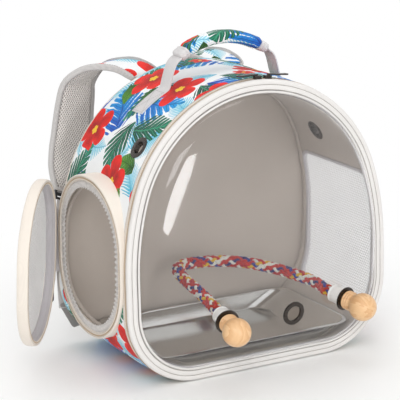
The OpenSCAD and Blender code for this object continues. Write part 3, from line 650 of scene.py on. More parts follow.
def strap_mesh_material(name):
    made, tree, shader = new_material(name, Roughness=0.85, Sheen_Weight=0.3, Sheen_Roughness=0.5)
    uv = node(tree, "ShaderNodeSeparateXYZ", {0: node(tree, "ShaderNodeUVMap",
        uv_map="cloth").outputs[0]}).outputs
    a = calc(tree, "SINE", calc(tree, "MULTIPLY", calc(tree, "MULTIPLY_ADD", uv[1], 1.5, uv[0]), 1150.0))
    b = calc(tree, "SINE", calc(tree, "MULTIPLY", calc(tree, "MULTIPLY_ADD", uv[1], -1.5, uv[0]), 1150.0))
    knot = calc(tree, "MAXIMUM", a, b)
    height = calc(tree, "MULTIPLY_ADD", knot, 0.5, 0.5, clamp=True)
    # the low parts of the weave take the dark colour: painted shade in its holes
    colour = colour_mix(tree, height, rgb("7E766F"), rgb("F1ECE8"))
    patch = use_group(tree, mottle_group, Vector=object_place(tree), Scale=18.0, Amount=0.07)
    tree.links.new(toned(tree, colour, patch["Tone"]), shader["Base Color"])
    tree.links.new(bump(tree, height, 0.8), shader["Normal"])
    return made


DYES = ("CC0C08", "F7F4EA", "10309A", "CC0C08", "F4C20E", "107A28", "F7F4EA", "10309A",
    "14822C", "D8200E", "1C2176", "F4C20E")


def rope_material(name):
    made, tree, shader = new_material(name, Roughness=0.9, Sheen_Weight=0.1, Sheen_Roughness=0.5)
    number = node(tree, "ShaderNodeAttribute", attribute_name="strand").outputs["Fac"]
    ramp = node(tree, "ShaderNodeValToRGB", {"Fac": calc(tree, "DIVIDE", number, float(len(DYES)))})
    ramp.color_ramp.interpolation = "CONSTANT"
    steps = ramp.color_ramp.elements
    steps[0].position, steps[0].color = 0.0, rgb(DYES[0])
    steps[1].position, steps[1].color = 1 / len(DYES), rgb(DYES[1])
    for i, dye in enumerate(DYES[2:], 2):
        steps.new(i / len(DYES)).color = rgb(dye)
    spot = object_place(tree)
    # the fibres' tone is painted shade, darker between the fibres
    fibres_with_shade = use_group(tree, threads_group, Vector=spot, Threads=1100.0, Contrast=0.4)
    patch = use_group(tree, mottle_group, Vector=spot, Scale=90.0, Amount=0.12)
    tree.links.new(toned(tree, ramp.outputs[0], fibres_with_shade["Tone"], patch["Tone"]), shader["Base Color"])
    tree.links.new(bump(tree, fibres_with_shade["Height"], 0.3), shader["Normal"])
    return made


WEBBING = webbing_material("flat_webbing", rgb("DFDCDC"))
STRAP_MESH = strap_mesh_material("strap_mesh")
ROPE = rope_material("dyed_rope")
print("webbing, strap mesh and rope ready")

# %% [markdown]
# ## Hard finishes
# The eyelets and sliders are dark plated metal with fine scratches, the tray is pressed steel with a faint
# grain along its length, the knobs are turned from a pale close-grained wood and waxed, and the caps are
# glossy white plastic. The window is a thin clear sheet. Light for shadows and for soft bounce passes
# straight through it, so that the cabin behind it is lit as it is through real film.

# %% Metal, wood, plastic and the clear sheet
def metal(name, colour, rough, wear=0.5, scale=70.0, stretch=6.0):
    made, tree, shader = new_material(name, Metallic=1.0)
    spot = object_place(tree)
    marks = use_group(tree, scratch_group, Vector=spot, Scale=scale, Stretch=stretch)
    patch = use_group(tree, mottle_group, Vector=spot, Scale=30.0, Amount=0.05)
    tree.links.new(toned(tree, colour, marks["Tone"], patch["Tone"]), shader["Base Color"])
    tree.links.new(calc(tree, "MULTIPLY_ADD", calc(tree, "SUBTRACT", marks["Height"], 0.5), wear * 0.3,
        rough),
        shader["Roughness"])
    tree.links.new(bump(tree, marks["Height"], 0.05), shader["Normal"])
    return made


def plastic(name, colour, rough, coat=0.3, depth=0.05):
    made, tree, shader = new_material(name, Coat_Weight=coat, Coat_Roughness=0.15)
    spot = object_place(tree)
    patch = use_group(tree, mottle_group, Vector=spot, Scale=60.0, Amount=0.04)
    marks = use_group(tree, scratch_group, Vector=spot, Scale=120.0, Stretch=3.0)
    tree.links.new(toned(tree, colour, patch["Tone"]), shader["Base Color"])
    tree.links.new(calc(tree, "MULTIPLY_ADD", marks["Height"], 0.15, rough), shader["Roughness"])
    tree.links.new(bump(tree, marks["Height"], depth), shader["Normal"])
    return made


def turned_wood(name):
    made, tree, shader = new_material(name, Coat_Weight=0.25, Coat_Roughness=0.25)
    spot = object_place(tree)
    longer = node(tree, "ShaderNodeVectorMath", {0: spot, 1: (1.0, 0.16, 1.0)},
        operation="MULTIPLY").outputs[0]
    swirl = node(tree, "ShaderNodeTexNoise", {"Vector": longer, "Scale": 34.0, "Detail": 3.0,
        "Distortion": 0.6}).outputs[0]
    rings = calc(tree, "FRACT", calc(tree, "MULTIPLY", swirl, 6.0))
    pores = use_group(tree, scratch_group, Vector=longer, Scale=700.0, Stretch=1.0)
    colour = colour_mix(tree, calc(tree, "POWER", rings, 1.6), rgb("E4BB8C"), rgb("D6A573"))
    patch = use_group(tree, mottle_group, Vector=spot, Scale=40.0, Amount=0.06)
    tree.links.new(toned(tree, colour, pores["Tone"], patch["Tone"]), shader["Base Color"])
    tree.links.new(calc(tree, "MULTIPLY_ADD", pores["Height"], 0.2, 0.32), shader["Roughness"])
    tree.links.new(bump(tree, pores["Height"], 0.08), shader["Normal"])
    return made


def clear_film(name):
    made, tree, shader = new_material(name, Roughness=0.04, IOR=1.4, Transmission_Weight=1.0)
    spot = object_place(tree)
    film = node(tree, "ShaderNodeTexNoise", {"Vector": spot, "Scale": 9.0, "Detail": 2.0}).outputs[0]
    dust = use_group(tree, mottle_group, Vector=spot, Scale=25.0, Amount=0.01)
    tree.links.new(toned(tree, rgb("FEFEFF"), dust["Tone"]), shader["Base Color"])
    tree.links.new(bump(tree, film, 1.2, 0.35), shader["Normal"])
    path = node(tree, "ShaderNodeLightPath").outputs
    soft = calc(tree, "MAXIMUM", path["Is Shadow Ray"], path["Is Diffuse Ray"])
    through = node(tree, "ShaderNodeBsdfTransparent", {"Color": (0.97, 0.975, 0.98, 1.0)}).outputs[0]
    mix = node(tree, "ShaderNodeMixShader", {0: soft, 1: tree.nodes["Principled BSDF"].outputs[0],
        2: through})
    tree.links.new(mix.outputs[0], tree.nodes["Material Output"].inputs["Surface"])
    return made


GUNMETAL = metal("gunmetal_plate", rgb("4A4542"), 0.28)
BLACK_METAL = metal("black_enamel", rgb("1C1B1B"), 0.3)
STEEL = metal("pressed_steel", rgb("D2D1CE"), 0.13, wear=0.35, scale=35.0, stretch=18.0)
WHITE_PLASTIC = plastic("white_plastic", rgb("F6F6F4"), 0.28)
BLACK_PLASTIC = plastic("black_plastic", rgb("202022"), 0.42)
ZIP_COIL = plastic("zip_coil", rgb("BFA98F"), 0.45)
KNOB_WOOD = turned_wood("turned_wood")
CLEAR = clear_film("clear_film")
print("hard finishes ready")

# %% [markdown]
# ## Light and floor
# The picture is a bright studio shot: a large soft light from the front left, one from above, a tall narrow
# one in front, whose mirror image is the white streak on the window's left shoulder, and white all round. The
# world gives the white surround, and it shows to the camera, to metal and to glass as plain white. The floor
# catches the soft shadow near the carrier and turns into the same white farther
# out, by its own distance from the middle, so that it looks the same from every side.

# %% Light and floor
def surround_white(tree, inner, outer_share):
    """Mixes a shader into white for what camera, metal and glass see, by the share given."""
    path = node(tree, "ShaderNodeLightPath").outputs
    seen = calc(tree, "MAXIMUM", path["Is Camera Ray"],
        calc(tree, "MAXIMUM", path["Is Glossy Ray"], path["Is Transmission Ray"]))
    white = node(tree, "ShaderNodeEmission", {"Color": (1.0, 1.0, 1.0, 1.0), "Strength": 1.0}).outputs[0]
    return node(tree, "ShaderNodeMixShader",
        {0: calc(tree, "MULTIPLY", seen, outer_share), 1: inner, 2: white}).outputs[0]


world = bpy.data.worlds.new("studio")
world.use_nodes = True
scene.world = world
wt = world.node_tree
dim = wt.nodes["Background"]
dim.inputs["Color"].default_value = (1.0, 1.0, 1.0, 1.0)
dim.inputs["Strength"].default_value = 0.82
path = node(wt, "ShaderNodeLightPath").outputs
seen = calc(wt, "MAXIMUM", path["Is Camera Ray"],
    calc(wt, "MAXIMUM", path["Is Glossy Ray"], path["Is Transmission Ray"]))
bright = node(wt, "ShaderNodeBackground", {"Color": (1.0, 1.0, 1.0, 1.0), "Strength": 1.0}).outputs[0]
wt.links.new(node(wt, "ShaderNodeMixShader", {0: seen, 1: dim.outputs[0], 2: bright}).outputs[0],
    wt.nodes["World Output"].inputs["Surface"])

floor_mesh = bpy.data.meshes.new("floor")
floor_mesh.from_pydata([(-6, -6, 0), (6, -6, 0), (6, 6, 0), (-6, 6, 0)], [], [(0, 1, 2, 3)])
floor = bpy.data.objects.new("floor", floor_mesh)
floor.location.z = -0.0006
scene.collection.objects.link(floor)
floor_material, ft, floor_shader = new_material("pale_floor", Roughness=0.55, Specular_IOR_Level=0.25)
spot = object_place(ft)
grain = use_group(ft, mottle_group, Vector=spot, Scale=6.0, Amount=0.008)
ft.links.new(toned(ft, rgb("F7F7F6"), grain["Tone"]), floor_shader["Base Color"])
reach = node(ft, "ShaderNodeVectorMath", {0: spot}, operation="LENGTH").outputs["Value"]
far = node(ft, "ShaderNodeMapRange", {"Value": reach, "From Min": 0.2, "From Max": 0.62},
    interpolation_type="SMOOTHSTEP").outputs[0]
ft.links.new(surround_white(ft, ft.nodes["Principled BSDF"].outputs[0], far),
    ft.nodes["Material Output"].inputs["Surface"])
floor_mesh.materials.append(floor_material)
floor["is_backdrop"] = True


def soft_light(name, place, width, height, watts, lean=0.0):
    lamp = bpy.data.lights.new(name, "AREA")
    lamp.shape, lamp.size, lamp.size_y, lamp.energy = "RECTANGLE", width, height, watts
    made = bpy.data.objects.new(name, lamp)
    made.location = place
    aim = (Vector((0, 0, 0.18)) - Vector(place)).to_track_quat("-Z", "Y")
    made.rotation_euler = (aim @ Quaternion((0, 0, 1), math.radians(lean))).to_euler()
    scene.collection.objects.link(made)


soft_light("key", (-1.5, -1.9, 2.0), 1.3, 1.3, 20)
soft_light("tall", (-0.27, -2.62, 0.64), 0.36, 1.25, 13, -25)
soft_light("top", (0.2, 0.5, 2.6), 1.4, 1.4, 10)
print("three soft lights and a floor")

# %% [markdown]
# ## Things that repeat along a line
# Stitches and zip teeth are one small shape, repeated at a fixed pitch along a seam. A Geometry Nodes tree
# does that: it turns the seam's line into a curve, walks along it in equal steps, and stands a small block
# on each step, turned along the seam and away from the cloth. The result is made a plain mesh at once.

# %% Geometry Nodes: a block at every step of a line
def new_tree(name, sockets):
    tree = bpy.data.node_groups.new(name, "GeometryNodeTree")
    tree.interface.new_socket("Geometry", in_out="INPUT", socket_type="NodeSocketGeometry")
    for label, kind in sockets:
        tree.interface.new_socket(label, in_out="INPUT", socket_type="NodeSocket" + kind)
    tree.interface.new_socket("Geometry", in_out="OUTPUT", socket_type="NodeSocketGeometry")
    return tree, tree.nodes.new("NodeGroupInput").outputs, tree.nodes.new("NodeGroupOutput").inputs


def grown(name, source, tree, **values):
    """The mesh that a tree makes from a source mesh, as a plain object."""
    made = bpy.data.objects.new(name, source)
    scene.collection.objects.link(made)
    modifier = made.modifiers.new("grow", "NODES")
    modifier.node_group = tree
    for item in tree.interface.items_tree:
        if item.in_out == "INPUT" and item.name.replace(" ", "_") in values:
            modifier[item.identifier] = values[item.name.replace(" ", "_")]
    return applied(made)


step_tree, take, give = new_tree("blocks along a line",
    [("Pitch", "Float"), ("Along", "Float"), ("Across", "Float"), ("Height", "Float"), ("Material",
    "Material")])
t = step_tree
seam = node(t, "GeometryNodeMeshToCurve", {"Mesh": take["Geometry"]}).outputs[0]
steps = node(t, "GeometryNodeResampleCurve", {"Curve": seam, "Length": take["Pitch"]},
    mode="LENGTH").outputs[0]
size = node(t, "ShaderNodeCombineXYZ", {0: take["Across"], 1: take["Height"], 2: take["Along"]}).outputs[0]
block = node(t, "GeometryNodeMeshCube", {"Size": size}).outputs[0]
tangent = node(t, "GeometryNodeInputTangent").outputs[0]
along = node(t, "FunctionNodeAlignRotationToVector", {"Vector": tangent}, axis="Z").outputs[0]
out = node(t, "GeometryNodeInputNamedAttribute", {"Name": "out"}, data_type="FLOAT_VECTOR").outputs[0]
stood = node(t, "FunctionNodeAlignRotationToVector", {"Rotation": along, "Vector": out}, axis="Y",
    pivot_axis="Z").outputs[0]
row = node(t, "GeometryNodeInstanceOnPoints", {"Points": steps, "Instance": block,
    "Rotation": stood}).outputs[0]
real = node(t, "GeometryNodeRealizeInstances", {"Geometry": row}).outputs[0]
t.links.new(node(t, "GeometryNodeSetMaterial", {"Geometry": real, "Material": take["Material"]}).outputs[0],
    give["Geometry"])


def line_mesh(name, lines):
    """One mesh of edges from several lines, each (points in mm, ways out of the cloth, closed)."""
    points, edges, outs = [], [], []
    for path, out, closed in lines:
        path = np.asarray(path, float)
        first = len(points)
        points.extend(path.tolist())
        outs.extend(np.broadcast_to(np.asarray(out, float), path.shape).tolist())
        edges.extend((first + i, first + i + 1) for i in range(len(path) - 1))
        if closed:
            edges.append((first + len(path) - 1, first))
    mesh = bpy.data.meshes.new(name)
    mesh.from_pydata(np.array(points) * MM, edges, [])
    mesh.attributes.new("out", "FLOAT_VECTOR", "POINT").data.foreach_set("vector", np.array(outs).ravel())
    return mesh


def stitches(name, lines, body, material=None, pitch=3.2, along=2.3, across=0.5, height=0.5):
    made = grown(name, line_mesh(name, lines), step_tree, Pitch=pitch * MM, Along=along * MM,
        Across=across * MM, Height=height * MM, Material=material or STITCH)
    return finish_piece(made, body, ())


print("tree:", step_tree.name)

# %% [markdown]
# ## The rope perch
# The perch is a braid of cotton strands over a core: half of the strands run round it one way and half the
# other way, each over one and under the next. The tree below copies the perch's centre line once for each
# strand, winds it round the rope, moves it in and out where strands cross, and gives it a round section.
# The perch is stiff and sewn to shape, held in two caps, so it rides with the window and is no free cord.

# %% The perch's centre line
def crown_depth(x, z):
    return math.sqrt(CROWN_R**2 - x * x - (z - CROWN_Z) ** 2)


def eyelet_axis(i):
    x, z = EYELET_X[i], EYELET_Z[i]
    return np.array([x, -crown_depth(x, z), z - CROWN_Z]) / CROWN_R


def eyelet_matrix(i):
    """The place of an eyelet: its Z points straight out of the window."""
    c, s = math.cos(FRONT_LEAN), math.sin(FRONT_LEAN)
    lean = np.array([[1, 0, 0], [0, c, s], [0, -s, c]])
    z_axis = lean @ eyelet_axis(i)
    x_axis = unit(np.cross([0, 0, 1.0], z_axis))
    x, z = EYELET_X[i], EYELET_Z[i]
    found = np.eye(4)
    found[:3, 0], found[:3, 1], found[:3, 2] = x_axis, np.cross(z_axis, x_axis), z_axis
    found[:3, 3] = on_front(x, CROWN_Y - crown_depth(x, z), z)
    return found


EYELET_LOW, EYELET_HIGH = -2.6, 0.8
CAP_FACE, CAP_L, SOCKET = EYELET_LOW - 0.3, 20, 8
ROPE_D = 16
ROPE_BEND = [(-62, -62, 92), (-60, -20, 98), (-56, 12, 101), (-46, 34, 102), (-28, 46, 101), (0, 50, 99),
    (30, 44, 97), (54, 30, 95), (76, 6, 92), (92, -26, 89), (102, -62, 87)]
ROPE_START = CAP_FACE - CAP_L + SOCKET - 0.3
ends = [[placed([[0, 0, ROPE_START - out]], eyelet_matrix(i))[0] for out in (0, SOCKET,
    SOCKET + ROPE_D * 0.8)]
    for i in (0, 2)]
rope_line = smooth_path(ends[0] + [np.array(p) for p in ROPE_BEND] + ends[1][::-1], 6)
print("the perch is", round(lengths(rope_line)[-1]), "mm long")

# %% Geometry Nodes: the braid
braid_tree, take, give = new_tree("braid", [("Strands", "Int"), ("Radius", "Float"), ("Wave", "Float"),
    ("Thickness", "Float"), ("Turns", "Float"), ("Way", "Float"), ("First", "Float"), ("Material",
    "Material")])
t = braid_tree
core = node(t, "GeometryNodeMeshToCurve", {"Mesh": take["Geometry"]}).outputs[0]
core = node(t, "GeometryNodeResampleCurve", {"Curve": core, "Count": 420}).outputs[0]
copies = node(t, "GeometryNodeDuplicateElements", {"Geometry": core, "Amount": take["Strands"]},
    domain="SPLINE")
number = copies.outputs["Duplicate Index"]
stored = node(t, "GeometryNodeStoreNamedAttribute", {"Geometry": copies.outputs[0], "Name": "strand",
    "Value": calc(t, "ADD", calc(t, "MULTIPLY", number, 2.0), take["First"])}, data_type="FLOAT",
    domain="CURVE").outputs[0]
share = node(t, "GeometryNodeSplineParameter").outputs["Factor"]
wind = calc(t, "MULTIPLY", calc(t, "MULTIPLY", share, take["Turns"]), 2 * math.pi)
own = calc(t, "DIVIDE", calc(t, "MULTIPLY", number, 2 * math.pi), take["Strands"])
angle = calc(t, "MULTIPLY_ADD", wind, take["Way"], own)
weave = calc(t, "COSINE", calc(t, "MULTIPLY", wind, take["Strands"]))
reach = calc(t, "MULTIPLY_ADD", calc(t, "MULTIPLY", weave, take["Wave"]), take["Way"], take["Radius"])
normal = node(t, "GeometryNodeInputNormal").outputs[0]
binormal = node(t, "ShaderNodeVectorMath", {0: node(t, "GeometryNodeInputTangent").outputs[0], 1: normal},
    operation="CROSS_PRODUCT").outputs[0]
right = node(t, "ShaderNodeVectorMath", {0: normal, "Scale": calc(t, "COSINE", angle)},
    operation="SCALE").outputs[0]
up = node(t, "ShaderNodeVectorMath", {0: binormal, "Scale": calc(t, "SINE", angle)},
    operation="SCALE").outputs[0]
arm = node(t, "ShaderNodeVectorMath", {0: right, 1: up}, operation="ADD").outputs[0]
offset = node(t, "ShaderNodeVectorMath", {0: arm, "Scale": reach}, operation="SCALE").outputs[0]
wound = node(t, "GeometryNodeSetPosition", {"Geometry": stored, "Offset": offset}).outputs[0]
round_section = node(t, "GeometryNodeCurvePrimitiveCircle", {"Resolution": 7,
    "Radius": take["Thickness"]}).outputs[0]
strand = node(t, "GeometryNodeCurveToMesh", {"Curve": wound, "Profile Curve": round_section,
    "Fill Caps": True}).outputs[0]
real = node(t, "GeometryNodeRealizeInstances", {"Geometry": strand}).outputs[0]
t.links.new(node(t, "GeometryNodeSetMaterial", {"Geometry": real, "Material": take["Material"]}).outputs[0],
    give["Geometry"])
print("tree:", braid_tree.name)

# %% The braided rope
STRANDS, ROPE_TURNS = 6, 6.5
halves = []
for way in (1.0, -1.0):
    line = line_mesh("rope_line", [(rope_line, (0, 0, 1), False)])
    half = grown("rope_half", line, braid_tree, Strands=STRANDS, Radius=5.2 * MM, Wave=0.9 * MM,
        Thickness=2.15 * MM, Turns=ROPE_TURNS, Way=way, First=0.0 if way > 0 else 1.0, Material=ROPE)
    half.data.shade_smooth()
    halves.append(half)
core_rings = band_rings(rope_line, (0, 0, 1), 10.4, 10.4, 1.0, 3)
rope_core = skin("rope_core", core_rings, [CORE_YARN])
joiner = [halves[0], halves[1], rope_core]
with bpy.context.temp_override(active_object=halves[0], selected_editable_objects=joiner, object=halves[0],
        selected_objects=joiner):
    bpy.ops.object.join()
rope = halves[0]
rope.name = "braided_perch_rope"
finish_piece(rope, "window", ["perch_rope"])

# %% [markdown]
# ## Caps, knobs and eyelets
# These are all turned: a cap with a boss that fills the eyelet and a stud for the knob, a wooden knob with
# three ribs on its neck and a round head, and eyelets with rolled flanges. Each is a profile carried round
# an axis that stands straight out of the curved window.

# %% Turned pieces
CAP_PROFILE = [(2.9, 21.8), (2.9, 1.2), (3.4, 0.8), (9.5, 0.8), (9.7, 0.5), (9.7, CAP_FACE + 0.2),
    (10.2, CAP_FACE), (10.9, CAP_FACE - 0.3), (11.5, CAP_FACE - 1.0), (11.5, CAP_FACE - 15.5),
    (11.2, CAP_FACE - 16.0), (11.2, CAP_FACE - 16.8), (11.5, CAP_FACE - 17.3), (11.5, CAP_FACE - 19.3),
    (11.0, CAP_FACE - 20.0), (8.9, CAP_FACE - 20.0), (8.3, CAP_FACE - 19.4), (8.1, CAP_FACE - 12.2),
    (7.9, CAP_FACE - 12.0), (0.2, CAP_FACE - 12.0)]
KNOB_R = 18
HEAD_Z = 1.3 + 14 + KNOB_R * 0.8


def knob_profile():
    profile = [(3.1, 23.5), (3.1, 1.7), (3.5, 1.3), (11.0, 1.3), (11.4, 1.6)]
    for n in range(3):
        low = 2.2 + 3.6 * n
        profile += [(11.5, low), (12.1, low + 0.35), (12.5, low + 1.2), (12.1, low + 2.05), (11.5, low + 2.4),
            (11.2, low + 3.0)]
    start = math.asin(min(1, 11.6 / KNOB_R))
    for a in np.linspace(math.pi - start, 0.02, 20):
        profile.append((KNOB_R * math.sin(a), HEAD_Z + KNOB_R * math.cos(a)))
    return [(0.15, 23.5)] + profile


def eyelet_profile(hole, flange, low, high):
    inner, barrel, wide = hole, hole + 2, hole + flange
    return [(inner, low + 0.4), (inner, high - 0.5), (inner + 0.5, high), (inner + 1.6, high + 0.0),
        (wide - 0.8, high - 0.15), (wide - 0.1, high - 0.35), (wide, high - 0.65), (wide - 0.3, high - 0.8),
        (barrel, high - 0.8), (barrel, low + 0.8), (wide - 0.3, low + 0.8), (wide, low + 0.6),
        (wide - 0.2, low + 0.15), (wide - 1.2, low), (inner + 0.5, low)]


for side, i in (("left", 0), ("right", 2)):
    cap = lathe(f"perch_cap_{side}_turned", CAP_PROFILE, eyelet_matrix(i), [WHITE_PLASTIC])
    finish_piece(cap, "window", [f"perch_cap_{side}"])
    knob = lathe(f"knob_{side}_turned", knob_profile(), eyelet_matrix(i), [KNOB_WOOD], sharp=50)
    finish_piece(knob, f"perch_knob_{side}", [f"perch_knob_{side}"])
for side, i in (("left", 0), ("middle", 1), ("right", 2)):
    ring = lathe(f"window_eyelet_{side}_rolled", eyelet_profile(10, 5.5, EYELET_LOW, EYELET_HIGH),
        eyelet_matrix(i), [GUNMETAL], closed=True)
    finish_piece(ring, "window", [f"window_eyelet_{side}"])


def vent_matrix(angle, y):
    a = math.radians(angle)
    found = np.eye(4)
    found[:3, 0], found[:3, 1], found[:3, 2] = (math.cos(a), 0, -math.sin(a)), (0, 1, 0), (math.sin(a), 0,
        math.cos(a))
    found[:3, 3] = (ARCH_R * math.sin(a), y, ARCH_Z + ARCH_R * math.cos(a))
    return found


VENTS = (("left", -54, -54), ("right", 63, 19))
for side, angle, y in VENTS:
    ring = lathe(f"{side}_vent_eyelet_rolled", eyelet_profile(8, 6.5, -WALL - 1.6, 1.1), vent_matrix(angle,
        y),
        [GUNMETAL], closed=True)
    finish_piece(ring, "root", [f"{side}_vent_eyelet"])

# %% [markdown]
# ## The clear window
# The window is one clear sheet with a shallow crown, like part of a large ball, and a round shoulder where
# it turns in to the border's seam. Rings of the outline, each a little farther in, carry the crown's depth.
# A wall of one millimetre is added, and three round holes are cut for the eyelets. The holes would leave
# uneven shading on such a glossy sheet, so the uncut sheet's normals are carried over to it.

# %% The crowned sheet
def crown_surface(x, z, inward):
    """Depth of the sheet: the crown, eased into the seam over a round shoulder."""
    shoulder = 15.0
    ease = np.sqrt(np.clip(1 - (1 - np.clip(inward / shoulder, 0, 1)) ** 2, 0, 1))
    crown = CROWN_Y - np.sqrt(CROWN_R**2 - x**2 - (z - CROWN_Z) ** 2)
    return -3.5 + (crown + 3.5) * ease


def dome_points(count=260):
    s = np.linspace(0, OUTLINE_LENGTH, count, endpoint=False)
    rows = []
    for inward in (0, 0.35, 1.1, 2.2, 3.6, 5.4, 7.6, 10, 12.5, 15, 20, 28, 38, 50, 62, 74):
        x, z = rim(s, DOME_INSET + inward)
        rows.append(on_front(x, crown_surface(x, z, inward), z))
    x, z = rim(s, DOME_INSET + 74)
    for share in (0.84, 0.68, 0.52, 0.37, 0.23, 0.11, 0.03):
        px, pz = x * share, CROWN_Z + (z - CROWN_Z) * share
        rows.append(on_front(px, crown_surface(px, pz, 99.0), pz))
    return np.array(rows)


rows = dome_points()
count, ring = rows.shape[:2]
points = np.concatenate([rows.reshape(-1, 3), on_front(0.0, CROWN_Y - CROWN_R, float(CROWN_Z))[None]])
faces = [(i * ring + j, i * ring + (j + 1) % ring, (i + 1) * ring + (j + 1) % ring, (i + 1) * ring + j)
    for i in range(count - 1) for j in range(ring)]
faces += [((count - 1) * ring + j, (count - 1) * ring + (j + 1) % ring, count * ring) for j in range(ring)]
a, b, c = points[list(faces[-1])]
if np.cross(b - a, c - a)[1] > 0:
    faces = [face[::-1] for face in faces]
sheet = make_object("clear_window", points, faces, [CLEAR], sharp=60)
wall = sheet.modifiers.new("wall", "SOLIDIFY")
wall.thickness, wall.offset = 1.0 * MM, -1.0
applied(sheet)
uncut = sheet.copy()
uncut.data = sheet.data.copy()
scene.collection.objects.link(uncut)
cutters = [lathe(f"cutter_{i}", [(12.1, -15), (12.1, 15)], eyelet_matrix(i), [CLEAR],
    sides=64) for i in range(3)]
for cutter in cutters:
    cut = sheet.modifiers.new("cut", "BOOLEAN")
    cut.object, cut.operation, cut.solver = cutter, "DIFFERENCE", "EXACT"
carry = sheet.modifiers.new("carry", "DATA_TRANSFER")
carry.object, carry.use_loop_data = uncut, True
carry.data_types_loops, carry.loop_mapping = {"CUSTOM_NORMAL"}, "POLYINTERP_NEAREST"
applied(sheet)
for spare in [uncut] + cutters:
    bpy.data.objects.remove(spare)
finish_piece(sheet, "window", ["window_clear"])

# %% [markdown]
# ## The printed wall
# The wall is one padded band that runs round the base, the sides and the arch between two leaning faces.
# Its outer face is the print and its inner face the taupe lining. It is drawn as one closed ring of skin,
# puffed a little away from its seams, and then the doorway, the mesh opening and the two eyelet holes are
# cut through it, so that the cut edges are real.

# %% Loops round an opening
def rounded_loop(half_x, half_y, corner, steps=(12, 12, 12)):
    """Points and outward ways round a rectangle with round corners: steps are for a corner and both sides."""
    spots, ways = [], []
    for cx, cy, start, side, parts in ((1, 1, 0, half_x, steps[1]), (-1, 1, 90, half_y, steps[2]),
            (-1, -1, 180, half_x, steps[1]), (1, -1, 270, half_y, steps[2])):
        middle = np.array([cx * (half_x - corner), cy * (half_y - corner)])
        for a in np.radians(np.linspace(start, start + 90, steps[0] + 1)):
            way = np.array([math.cos(a), math.sin(a)])
            spots.append(middle + corner * way)
            ways.append(way)
        length, last = 2 * (side - corner), spots[-1]
        for k in range(1, parts):
            spots.append(last + np.array([-way[1], way[0]]) * length * k / parts)
            ways.append(way)
    return np.array(spots), np.array(ways)


def reach(points, half_x, half_y, corner):
    """How far points lie outside a rectangle with round corners; inside it the number is negative."""
    q = np.abs(points) - (np.array([half_x, half_y]) - corner)
    return np.hypot(*np.maximum(q, 0).T) + np.minimum(q.max(-1), 0) - corner


MESH_Z, MESH_H, MESH_R = (MESH_TOP + MESH_BOTTOM) / 2, MESH_TOP - MESH_BOTTOM, 18
DOOR_STEPS, MESH_STEPS = (44, 3, 14), (8, 24, 28)
door_loop, door_ways = rounded_loop(DOOR_HW, DOOR_HH, DOOR_R, DOOR_STEPS)
mesh_loop, mesh_ways = rounded_loop(MESH_W / 2, MESH_H / 2, MESH_R, MESH_STEPS)


def prism(name, flat, x_low, x_high):
    rings = [np.stack([np.full(len(flat), x), flat[:, 0], flat[:, 1]], 1) for x in (x_low, x_high)]
    return skin(name, rings, [LINING], sharp=30)


def cut_by(made, cutters):
    for cutter in cutters:
        cut = made.modifiers.new("cut", "BOOLEAN")
        cut.object, cut.operation, cut.solver = cutter, "DIFFERENCE", "EXACT"
    applied(made)
    for cutter in cutters:
        bpy.data.objects.remove(cutter)


def ripple(points, size, seed):
    """Smooth, repeatable unevenness between -1 and 1 for points in mm."""
    rng = np.random.default_rng(seed)
    total = np.zeros(len(points))
    for k in range(6):
        way = rng.normal(size=3)
        total += np.sin(points @ (way / np.linalg.norm(way)) / size * (1 + 0.35 * k) + rng.uniform(0, 6.28))
    return total / 6


# %% The wall's skin
ZIP_TAPE_W = 7
WALL_STEPS, WALL_DEPTH = 300, 30
s = np.linspace(0, OUTLINE_LENGTH, WALL_STEPS, endpoint=False)
share = np.linspace(0, 1, WALL_DEPTH)


def puffed(points, z, inner):
    """How far the padding stands out at points of the wall: nothing along seams and openings."""
    flat = points[:, 1:]
    low = -HALF_D + ZIP_TAPE_W / math.cos(FRONT_LEAN) + z * math.tan(FRONT_LEAN)
    high = HALF_D - z * math.tan(BACK_LEAN)
    edge = np.minimum(points[:, 1] - low, high - points[:, 1]) / 22.0
    door = np.where(points[:, 0] < 0, reach(flat - [DOOR_Y, DOOR_Z], DOOR_HW, DOOR_HH, DOOR_R), 99) / 14.0
    net = np.where(points[:, 0] > 0, reach(flat - [0, MESH_Z], MESH_W / 2, MESH_H / 2, MESH_R), 99) / 14.0
    room = np.clip(np.minimum(np.minimum(edge, door), net), 0, 1)
    wave = ripple(points, 24.0, 3) * 0.9 + ripple(points, 9.0, 5) * 0.25
    return room * (0.6 + 0.6 * wave) if inner else room * (0.8 + wave)


wall_rings = []
for i in range(WALL_STEPS):
    (x, z), (x1, z1) = rim(s[i]), rim(s[i], -1)
    halves = []
    for inset, order in ((0.0, share), (float(WALL), share[::-1])):
        px, pz = rim(s[i], inset)
        low = -HALF_D + ZIP_TAPE_W / math.cos(FRONT_LEAN) + pz * math.tan(FRONT_LEAN) + 0.15
        high = HALF_D - pz * math.tan(BACK_LEAN) - 0.15
        points = np.stack([np.full(WALL_DEPTH, px), low + (high - low) * order, np.full(WALL_DEPTH, pz)], 1)
        grow = puffed(points, pz, inset > 0) * (0.0 if z < 12 else 1.0) * (-1 if inset else 1)
        points[:, 0] += (x1 - x) * grow
        points[:, 2] = np.maximum(points[:, 2] + (z1 - z) * grow, 0.0)
        halves.append(points)
    wall_rings.append(np.concatenate(halves))
across = list(np.linspace(-91, 98, WALL_DEPTH))
wall = skin("printed_wall", wall_rings, [PRINT, LINING], closed=True, ring_u=np.append(s, OUTLINE_LENGTH),
    point_v=np.array(across + across[::-1] + across[:1]), sharp=50,
    point_slot=[0] * (WALL_DEPTH - 1) + [1] * (WALL_DEPTH + 1))
COLLAR_RIM = 12
cut_loop, _ = rounded_loop(DOOR_HW - COLLAR_RIM, DOOR_HH - COLLAR_RIM, DOOR_R - COLLAR_RIM, DOOR_STEPS)
cutters = [prism("door_cut", cut_loop + [DOOR_Y, DOOR_Z], -HALF_W - 20, -HALF_W / 2),
    prism("mesh_cut", mesh_loop + [0, MESH_Z], HALF_W / 2, HALF_W + 20)]
